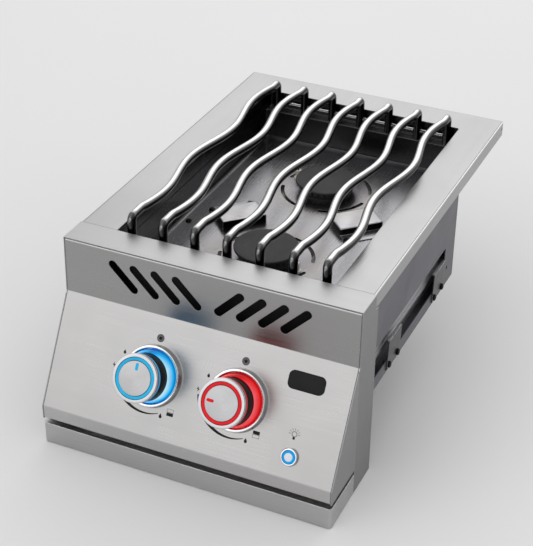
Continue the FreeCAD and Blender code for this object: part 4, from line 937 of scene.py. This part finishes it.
def buildHoods(look):
    bm = bmesh.new()
    for number in (0, 1):
        place = hoodMatrix(number)
        rings = []
        for k in range(-1, 6):
            a = math.radians(max(0, k) * 18)
            inset = look["bend"] * (1 - math.cos(a))
            height = look["lift"] if k < 0 else look["height"] - look["bend"] * (1 - math.sin(a))
            half = look["half"] - inset
            rear = look["deep"] - inset
            corners = [(half, -look["deep"]), (half, rear, look["corner"]), (-half, rear, look["corner"]),
                       (-half, -look["deep"])]
            rings.append(addLoop(bm, roundedOutline(corners, 5), height, place))
        for first, second in zip(rings, rings[1:]):
            for k in range(len(first) - 1):
                bm.faces.new([first[k], first[k + 1], second[k + 1], second[k]])
        bm.faces.new(rings[-1])
    shell = thicken(bm, look["wall"] * mm)
    for number in (0, 1):
        low, high = look["deep"] - look["lap"], look["deep"] + look["flange"]
        half, round, small = look["half"], look["flangeCorner"], look["smallCorner"]
        outer = roundedOutline([(half, low, small), (half, high, round), (-half, high, round),
                                (-half, low, small)], 5, closed=True)
        holes = [discLoop(x, look["deep"] + look["screwOut"], look["screwHole"], 16)
                 for x in (-look["screwHalf"], look["screwHalf"])]
        addPrint(shell, [outer] + holes, hoodMatrix(number), 0.0, look["wall"])
    return shell


addPiece("igniterHoods", buildHoods(hoodLook), [steels["hoodSteel"]], "housing",
         ["ignition_hoods"])
print("caps and hoods made")


# Screw or bolt head: the outline climbs from the seat to a flat land, and the recess is cut into it
def headMesh(name, outline, recess, depth):
    bm = bmesh.new()
    lathe(bm, outline, Matrix(), 24)
    top = outline[-1][1]
    bm.verts.ensure_lookup_table()
    edge = bm.verts[-24:]
    holes = [addLoop(bm, recess, level) for level in (top, top - depth)]
    fillPlate(bm, [edge, holes[0]])
    joinRings(bm, holes)
    bm.faces.new(holes[1])
    cleanNormals(bm)
    mesh = bpy.data.meshes.new(name)
    bm.to_mesh(mesh)
    bm.free()
    return addObject(name, mesh)


# Copies one head over points, by their own facing and turn
def buildScatterTree():
    tree, given, result = newMaker("headsOnPoints", [("Head", "Object"), ("Size", "Float"),
                                                     ("Finish", "Material")],
                                   takesMesh=True)
    facing = addNode(tree, "GeometryNodeInputNamedAttribute", {"Name": "facing"}, data_type="FLOAT_VECTOR")
    turn = addNode(tree, "GeometryNodeInputNamedAttribute", {"Name": "turn"}, data_type="FLOAT")
    upright = addNode(tree, "FunctionNodeAlignRotationToVector", {"Vector": facing.outputs[0]}, axis="Z")
    own = addNode(tree, "FunctionNodeAxisAngleToRotation", {"Axis": (0, 0, 1), "Angle": turn.outputs[0]})
    both = addNode(tree, "FunctionNodeRotateRotation", {0: upright.outputs[0], 1: own.outputs[0]},
                   rotation_space="LOCAL")
    head = addNode(tree, "GeometryNodeObjectInfo", {"Object": given["Head"]})
    copies = addNode(tree, "GeometryNodeInstanceOnPoints", {
        "Points": given["Geometry"], "Instance": head.outputs["Geometry"], "Rotation": both.outputs[0],
        "Scale": addVector(tree, given["Size"], given["Size"], given["Size"])})
    finishMaker(tree, copies.outputs[0], given["Finish"], result)
    return tree


headsOnPoints = buildScatterTree()


# Spots are (place, facing, turn)
def scatterHeads(head, spots, material, size=1.0):
    points = bpy.data.meshes.new("spots")
    points.from_pydata([tuple(spot[0]) for spot in spots], [], [])
    points.attributes.new("facing", "FLOAT_VECTOR", "POINT").data.foreach_set(
        "vector", [value for spot in spots for value in spot[1]])
    points.attributes.new("turn", "FLOAT", "POINT").data.foreach_set("value", [spot[2] for spot in spots])
    bm = runMaker(headsOnPoints, {"Head": head, "Size": size, "Finish": material}, points)
    bpy.data.objects.remove(head)
    return bm


def crossLoop(reach, half):
    loop = []
    for k in range(4):
        turn = Matrix.Rotation(math.pi / 2 * k, 2)
        loop += [turn @ Vector(spot) for spot in ((half, half), (half * 0.8, reach), (-half * 0.8, reach))]
    return loop


screwLook = {"outline": [(0, 0), (3.6, 0), (3.6, 0.5), (3.42, 1.1), (2.95, 1.65), (2.3, 2.05), (1.95, 2.2)],
             "recess": (1.75, 0.42), "depth": 1.3, "innerX": 111.0, "innerY": 50.5}
boltLook = {"outline": [(0, -5.5), (2.4, -5.5), (2.4, 0), (3.6, 0), (3.6, 1.5), (3.45, 1.95), (3.1, 2.3),
                        (2.7, 2.4)],
            "socket": 2.0, "depth": 1.3, "seat": 164.3, "spots": (44.4, 69.4, 185.3, 210.3), "z": -97.5}
screwSpots = []
for number, side in enumerate((-1, 1)):
    for x in (-hoodLook["screwHalf"], hoodLook["screwHalf"]):
        spot = hoodMatrix(number) @ Vector((x * mm, (hoodLook["deep"] + hoodLook["screwOut"]) * mm,
                                            hoodLook["wall"] * mm))
        screwSpots.append((spot, (0, 0, 1), 0.5 + 0.9 * len(screwSpots)))
    screwSpots.append((Vector((side * screwLook["innerX"] * mm, hoodMiddle + side * screwLook["innerY"] * mm,
                               floorHeight)), (0, 0, 1), 0.3 + side))
screwHead = headMesh("screwHead", screwLook["outline"], crossLoop(*screwLook["recess"]), screwLook["depth"])
addPiece("trayScrews", scatterHeads(screwHead, screwSpots, steels["boltSteel"]), [steels["boltSteel"]],
         "housing", ["tray_screws"])
boltSpots = [(Vector((side * boltLook["seat"], y, boltLook["z"])) * mm, (side, 0, 0), 0.4 * y)
             for side in (-1, 1) for y in boltLook["spots"]]
boltHead = headMesh("boltHead", boltLook["outline"], discLoop(0, 0, boltLook["socket"], 6), boltLook["depth"])
addPiece("bracketBolts", scatterHeads(boltHead, boltSpots, steels["boltSteel"]), [steels["boltSteel"]],
         "housing", ["bracket_bolts"])
print("screws and bolts made")

# Igniters: glazed ceramics in the tray floor, each with a wire bent towards its burner
igniterLook = {
    "reach": 43.0, "angle": -17.5, "wire": 0.9, "tips": (0.5, 0.6),
    "ceramic": [(0.9, 11.0), (3.5, 11.0, 0.6), (3.5, 7.6), (3.15, 7.2), (3.5, 6.8), (3.5, 2.0),
                (5.2, 2.0, 0.6), (5.2, 0.02), (3.5, 0.02), (3.5, -5.2), (0.9, -5.2)],
    "path": [(0, 3), (0, 8), (0, 12.5), (0.3, 14.2), (1.1, 15.7), (2.3, 16.8), (3.8, 17.4)],
}


# Round wire along points, with a closed rounded tip
def addWire(bm, points, radius, place, steps=12):
    rings = []
    count = len(points)
    for index, point in enumerate(points):
        ahead = (points[min(index + 1, count - 1)] - points[max(index - 1, 0)]).normalized()
        side = Vector((0, 1, 0))
        up = ahead.cross(side)
        rings.append(addRing(bm, [point + (side * math.cos(a) + up * math.sin(a)) * radius
                                  for a in (math.tau * k / steps for k in range(steps))], place))
    ends = (points[1] - points[0]).normalized(), (points[-1] - points[-2]).normalized()
    near, far = igniterLook["tips"]
    first = addRing(bm, [points[0] - ends[0] * radius * near], place)
    last = addRing(bm, [points[-1] + ends[1] * radius * far], place)
    joinRings(bm, [first] + rings + [last])


ceramics, wires = bmesh.new(), bmesh.new()
for number, y in enumerate(burnerPlaces.values()):
    a = math.radians(igniterLook["angle"] + 180 * number)
    spot = Vector((math.cos(a), math.sin(a), 0)) * igniterLook["reach"] * mm + Vector((0, y, floorHeight))
    place = Matrix.Translation(spot) @ Matrix.Rotation(a + math.pi, 4, "Z")
    lathe(ceramics, roundedOutline(igniterLook["ceramic"]), place, 32, closed=True)
    addWire(wires, [Vector((x, 0, z)) * mm for x, z in igniterLook["path"]], igniterLook["wire"] * mm, place)
addPiece("igniterCeramics", ceramics, [plastics["ceramicGlaze"]], "housing", ["electrodes"])
addPiece("igniterWires", wires, [steels["boltSteel"]], "housing", ["electrode_pins"])

# Control knobs, heights measured out from the panel
knobShape = {
    "disc": [(0, 41.95), (17.5, 42.0, 0.2), (17.7, 41.8)],
    "groove": [(17.7, 41.8), (17.7, 40.7), (21.5, 40.7), (21.5, 41.8)],
    "cap": [(21.5, 41.8), (21.7, 42.0, 0.15), (24.7, 42.0, 0.25), (24.7, 41.3), (24.0, 41.1), (24.0, 40.7),
            (25.2, 40.5, 0.15), (25.2, 37.4, 0.2), (23.4, 37.4), (23.4, 39.0), (0, 39.0)],
    "ring": [(18.2, 40.7), (21.0, 40.7), (21.0, 42.2, 0.5), (18.2, 42.2, 0.5)],
    "glow": [(23.4, 33.8), (24.8, 33.8, 0.3), (24.8, 37.4), (23.4, 37.4)],
    "grip": [(0, 33.8), (24.2, 33.8, 0.3), (24.2, 10.0, 0.7), (22.0, 10.0), (22.0, 31.6), (7.0, 31.6),
             (7.0, 10.0), (3.05, 10.0), (3.05, 31.2), (0, 31.2)],
    "bezel": [(28.4, -4.0), (29.6, -4.0), (29.6, 0.0), (33.0, 0.0), (33.0, 0.8, 0.3), (31.9, 6.9, 1.3),
              (28.4, 6.9, 1.1)],
    "cone": [(24.9, -3.0), (27.8, -3.0), (27.8, 5.9, 0.4), (25.4, 18.5, 0.2), (24.9, 18.5, 0.2)],
    "mark": (1.6, 8.0, 16.0), "markLevels": ((0.0, 41.0), (0.0, 42.1), (0.12, 42.24), (0.35, 42.3)),
    "turns": {"left": 0.0, "right": 90.0},
}
bezels = bmesh.new()
for side, x in knobPlaces.items():
    place = panelPlace(x, knobDown, math.radians(knobShape["turns"][side]))
    turned = {name: bmesh.new() for name in ("cap", "ring", "grip", "cone")}
    for name, bm in turned.items():
        outline = knobShape[name]
        shut = name in ("ring", "cone")
        lathe(bm, roundedOutline(outline, closed=shut), place, 128, closed=shut)
    lathe(turned["cap"], roundedOutline(knobShape["disc"]), place, 128)
    # Painted shade: the groove round the lit ring is lined with black plastic, a dark lining standing in for
    # the shade in the recess
    lathe(turned["cap"], knobShape["groove"], place, 128, material=1)
    lathe(turned["ring"], roundedOutline(knobShape["glow"], closed=True), place, 128, closed=True)
    half, low, high = knobShape["mark"]
    stackLoops(turned["ring"], [(rectLoop(half - inset, low + inset, high - inset, half - inset), height)
                                for inset, height in knobShape["markLevels"]], place)
    body = "knob_" + side
    glow = {"left": "glow_blue", "right": "glow_red"}[side]
    for label, part, materials, owner, slot, node in (
            ("knobFace", "cap", [knobSilver[side], plastics["gripBlack"]], body, "knob_silver", "knob_cap_"),
            ("knobRing", "ring", [glowRings[side]], body, glow, "knob_lights_"),
            ("knobGrip", "grip", [plastics["gripBlack"]], body, "knob_black", "knob_grip_"),
            ("bezelGlow", "cone", [glowCones[side]], "housing", glow, "bezel_light_")):
        addPiece(label + side.capitalize(), turned[part], materials, owner, [node + side])
    lathe(bezels, roundedOutline(knobShape["bezel"], closed=True), place, 160, closed=True)
addPiece("knobBezels", bezels, [polished["bezelChrome"]], "housing", ["knob_bezels"])

# Light button
buttonShape = {
    "rim": [(7.0, -10.0), (7.9, -10.0), (7.9, 0.0), (9.3, 0.0), (9.3, 3.2, 1.3), (7.0, 3.2, 0.5)],
    "cap": [(0, 4.3), (2.4, 4.25), (4.4, 4.0, 0.5), (4.4, 0.0), (6.6, 0.0), (6.6, -2.0), (2.5, -2.0),
            (2.5, -14.0), (0, -14.0)],
    "ring": [(4.5, 0.0), (6.6, 0.0), (6.6, 3.7, 0.5), (4.5, 3.7, 0.3)],
}
for name, label, material, body, slot, node in (
        ("rim", "buttonRim", polished["bezelChrome"], "housing", "bezel_chrome", "button_bezel"),
        ("cap", "buttonCap", plastics["buttonPale"], "light_button", "button_white", "button_cap"),
        ("ring", "buttonRing", buttonGlow, "light_button", "button_blue", "button_light")):
    bm = bmesh.new()
    shut = name != "cap"
    lathe(bm, roundedOutline(buttonShape[name], closed=shut), buttonPlace, 64, closed=shut)
    addPiece(label, bm, [material], body, [node])

# Blank badge with a raised rim, and the panel's printed marks
badgeLook = {"x": 115.2, "down": 27.2, "half": 19.5, "high": 9.5, "corner": 6.0, "smallCorner": 0.8,
             "levels": ((0.0, -0.3), (0.0, 0.9), (0.25, 1.15), (0.7, 1.2), (1.0, 0.95), (3.5, 1.15),
                        (6.0, 1.2))}
badge = bmesh.new()
badgePlace = panelPlace(badgeLook["x"] * mm, badgeLook["down"] * mm)
stackLoops(badge, [(rectLoop(badgeLook["half"] - inset, inset - badgeLook["high"], badgeLook["high"] - inset,
                             max(badgeLook["smallCorner"], badgeLook["corner"] - inset)), height)
                   for inset, height in badgeLook["levels"]], badgePlace)
addPiece("blankBadge", badge, [plastics["badgeEnamel"]], "housing", ["badge_plate"])

printLook = {
    "low": -0.04, "high": 0.05,
    "offMarks": ((-47.9, 23.1), (48.1, 22.7)), "offRing": (4.2, 2.1), "offDot": 2.0,
    "sweep": (38.2, 43.8, 38.9, 187.0, 292.0),
    "flame": ((0.0, 1.7), (-0.45, 0.75), (-0.95, 0.1), (-1.0, -0.75), (-0.55, -1.4), (0.0, -1.6),
              (0.55, -1.4), (1.0, -0.75), (0.85, 0.05), (0.35, 0.6)),
    "lowMarks": ((-30.3, 100.2), (65.7, 99.7)), "highMarks": ((-84.0, 46.3), (12.3, 46.4)),
    "sparkMarks": ((-92.8, 62.5), (4.3, 62.8)), "spark": ((-0.2, 1.8), (-1.2, -0.3), (-0.1, -0.2),
                                                          (-0.4, -1.8),
                                                         (1.2, 0.4), (0.1, 0.3)),
    "plates": ((-20.4, 94.6, 0), (75.2, 91.1, 1)), "plate": (3.7, 3.5, 0.3),
    "plateGap": 0.15, "lowSize": 1.7, "highSize": 1.5, "sparkSize": 1.5,
    "bulb": (114.3, 80.2), "bulbRing": (2.9, 2.35), "bulbRise": 0.4, "bulbFoot": (-1.2, 1.2, -5.0, -2.5),
    "rays": (3.9, 6.2, 0.2),
}


def boxLoop(left, right, low, high):
    return [(left, low), (right, low), (right, high), (left, high)]


def buildPrint(look):
    bm = bmesh.new()

    def mark(x, down, loops, ink, grow=1.0):
        loops = [[(p[0] * grow, p[1] * grow) for p in loop] for loop in loops]
        addPrint(bm, loops, panelPlace(x * mm, down * mm), look["low"], look["high"], ink)

    for x, down in look["offMarks"]:
        mark(x, down, [discLoop(0, 0, reach, 40) for reach in look["offRing"]], 1)
        mark(x, down, [discLoop(0, 0, look["offDot"], 32)], 0)
    inner, wide, narrow, first, last = look["sweep"]
    turns = [first + (last - first) * k / 48 for k in range(49)]
    outside = [(wide + (narrow - wide) * k / 48, math.radians(a)) for k, a in enumerate(turns)]
    inside = [(inner, math.radians(a)) for a in reversed(turns)]
    for x in knobPlaces.values():
        mark(x / mm, knobDown / mm, [[onCircle(reach, a) for reach, a in outside + inside]], 0)
    for spots, grow in ((look["lowMarks"], look["lowSize"]), (look["highMarks"], look["highSize"])):
        for x, down in spots:
            mark(x, down, [look["flame"]], 0, grow)
    for x, down in look["sparkMarks"]:
        mark(x, down, [look["spark"]], 0, look["sparkSize"])
    half, high, line = look["plate"]
    for x, down, filled in look["plates"]:
        for row in (0, 1):
            low = look["plateGap"] if row else -look["plateGap"] - high
            loops = [boxLoop(-half, half, low, low + high)]
            if row != filled:
                loops.append(boxLoop(line - half, half - line, low + line, low + high - line))
            mark(x, down, loops, 0)
    x, down = look["bulb"]
    mark(x, down, [discLoop(0, look["bulbRise"], reach, 32) for reach in look["bulbRing"]], 0)
    mark(x, down, [boxLoop(*look["bulbFoot"])], 0)
    near, far, thick = look["rays"]
    for k in range(7):
        turn = Matrix.Rotation(math.radians(30 * k), 2)
        ray = boxLoop(near, far, -thick, thick)
        mark(x, down, [[turn @ Vector(spot) + Vector((0, look["bulbRise"])) for spot in ray]], 0)
    return bm


addPiece("panelPrint", buildPrint(printLook), [inkBlack, inkGrey], "housing")
print("knobs, button, badge and print made")

cadFinish = {
    "topSteel": "top_frame", "stripSteel": "front_frame", "fasciaSteel": "control_fascia",
    "cheekSteel": "side_cheeks", "trimSteel": "lower_trim", "traySteel": "burner_tray",
    "bodySteel": "body_side_right body_side_left", "panSteel": "bottom_pan", "linerSteel": "side_liners",
    "shieldShadeBlack": "heat_shield", "bracketSteel": "side_brackets_right side_brackets_left manifold_brackets",
    "boltSteel": "bracket_bolts electrode_pins tray_screws", "badgeEnamel": "badge_plate",
    "railSteel": "air_shutters manifold", "hoodSteel": "ignition_hoods", "ceramicGlaze": "electrodes",
    "switchBlack": "button_switch ignition_module", "buttonPale": "button_cap",
    "bezelChrome": "knob_bezels button_bezel", "capEnamel": "burner_cap_front burner_cap_rear",
    "headIron": "burner_head_front burner_head_rear", "bowlCast": "venturi_front venturi_rear",
    "gripBlack": "knob_grip_left knob_grip_right",
    "rodPolish": "grate_bars " + " ".join("grate_rod_" + str(number) for number in range(1, 8)),
    "gasBrass": "orifices gas_inlet valve_body_left valve_body_right valve_plug_left valve_plug_right",
    "tubeAlloy": "feed_tube_left feed_tube_right valve_stem_left valve_stem_right",
}
materials = {**steels, **casts, **polished, **plastics}
nodeMaterials = {node: materials[look] for look, nodes in cadFinish.items() for node in nodes.split()}
nodeMaterials["button_light"] = buttonGlow
for side in knobPlaces:
    nodeMaterials["knob_cap_" + side] = knobSilver[side]
    nodeMaterials["knob_lights_" + side] = glowRings[side]
    nodeMaterials["bezel_light_" + side] = glowCones[side]
for name, material in nodeMaterials.items():
    mesh = cadNodes[name].data
    mesh.materials.clear()
    mesh.materials.append(material)
print("finishes on the frame's nodes")


# Floor, lamps and camera
stageLook = {"floor": -203.2 * mm, "size": 7.0, "color": grey(0.80), "second": grey(0.77), "world": 0.90,
             "sky": ((0.10, 0.50), (0.85, 1.0))}


def buildStage():
    half = stageLook["size"]
    mesh = bpy.data.meshes.new("studioFloor")
    corners = [(-half, -half), (half, -half), (half, half), (-half, half)]
    mesh.from_pydata([(x, y, stageLook["floor"]) for x, y in corners], [], [(0, 1, 2, 3)])
    floor = addObject("studioFloor", mesh)
    material, tree, shader, place = newMaterial("studioPaper")
    color = addColorMix(tree, addNoise(tree, place, 1.5, 2.0), stageLook["color"], stageLook["second"])
    setInputs(tree, shader, {"Base Color": color, "Roughness": 0.8})
    mesh.materials.append(material)
    world = bpy.data.worlds.new("studioWorld")
    world.use_nodes = True
    bpy.context.scene.world = world
    sky = world.node_tree
    back = sky.nodes["Background"]
    way = sky.nodes.new("ShaderNodeTexCoord")
    parts = addNode(sky, "ShaderNodeSeparateXYZ", {0: way.outputs["Generated"]})
    ramp = sky.nodes.new("ShaderNodeValToRGB")
    sky.links.new(addLevel(sky, parts.outputs[2], -0.2, 1.0), ramp.inputs[0])
    for stop, (place, level) in zip(ramp.color_ramp.elements, stageLook["sky"]):
        stop.position, stop.color = place, grey(level)
    setInputs(sky, back, {0: ramp.outputs[0], 1: stageLook["world"]})


lampLooks = {
    "overheadBox": {"spot": (-0.25, 2.30, 1.60), "aim": (0.0, 0.15, 0.0), "size": (2.6, 1.8), "power": 12.5},
    "frontLeftBox": {"spot": (-1.00, -2.10, 1.15), "aim": (0.0, -0.05, -0.1), "size": (2.4, 2.0),
                     "power": 13.0},
    "rightStrip": {"spot": (1.7, 0.1, 0.55), "aim": (0.0, 0.1, -0.05), "size": (0.4, 1.4), "power": 2.0},
}


def buildLamps():
    for name, look in lampLooks.items():
        light = bpy.data.lights.new(name, "AREA")
        light.shape = "RECTANGLE"
        light.size, light.size_y = look["size"]
        light.energy = look["power"]
        lamp = addObject(name, light)
        spot = Vector(look["spot"])
        lamp.location = spot
        lamp.rotation_euler = (Vector(look["aim"]) - spot).to_track_quat("-Z", "Y").to_euler()


cameraLook = {"spot": (0.5554, -1.1300, 0.7767), "yaw": 24.311, "pitch": 31.867, "roll": 0.698,
              "lens": 96.345}


def buildCamera():
    yaw, pitch, roll = (math.radians(cameraLook[key]) for key in ("yaw", "pitch", "roll"))
    ahead = Vector((-math.sin(yaw) * math.cos(pitch), math.cos(yaw) * math.cos(pitch), -math.sin(pitch)))
    right = Vector((math.cos(yaw), math.sin(yaw), 0.0))
    up = right.cross(ahead)
    turnedRight = right * math.cos(roll) + up * math.sin(roll)
    turnedUp = up * math.cos(roll) - right * math.sin(roll)
    data = bpy.data.cameras.new("photoCamera")
    data.lens = cameraLook["lens"]
    data.sensor_width = 36.0
    data.clip_end = 50.0
    camera = addObject("photoCamera", data)
    basis = Matrix((turnedRight, turnedUp, -ahead)).transposed().to_4x4()
    camera.matrix_world = Matrix.Translation(Vector(cameraLook["spot"])) @ basis
    bpy.context.scene.camera = camera


buildStage()
buildLamps()
buildCamera()
bpy.context.scene.view_settings.view_transform = "Standard"
print("stage, lamps and camera ready")
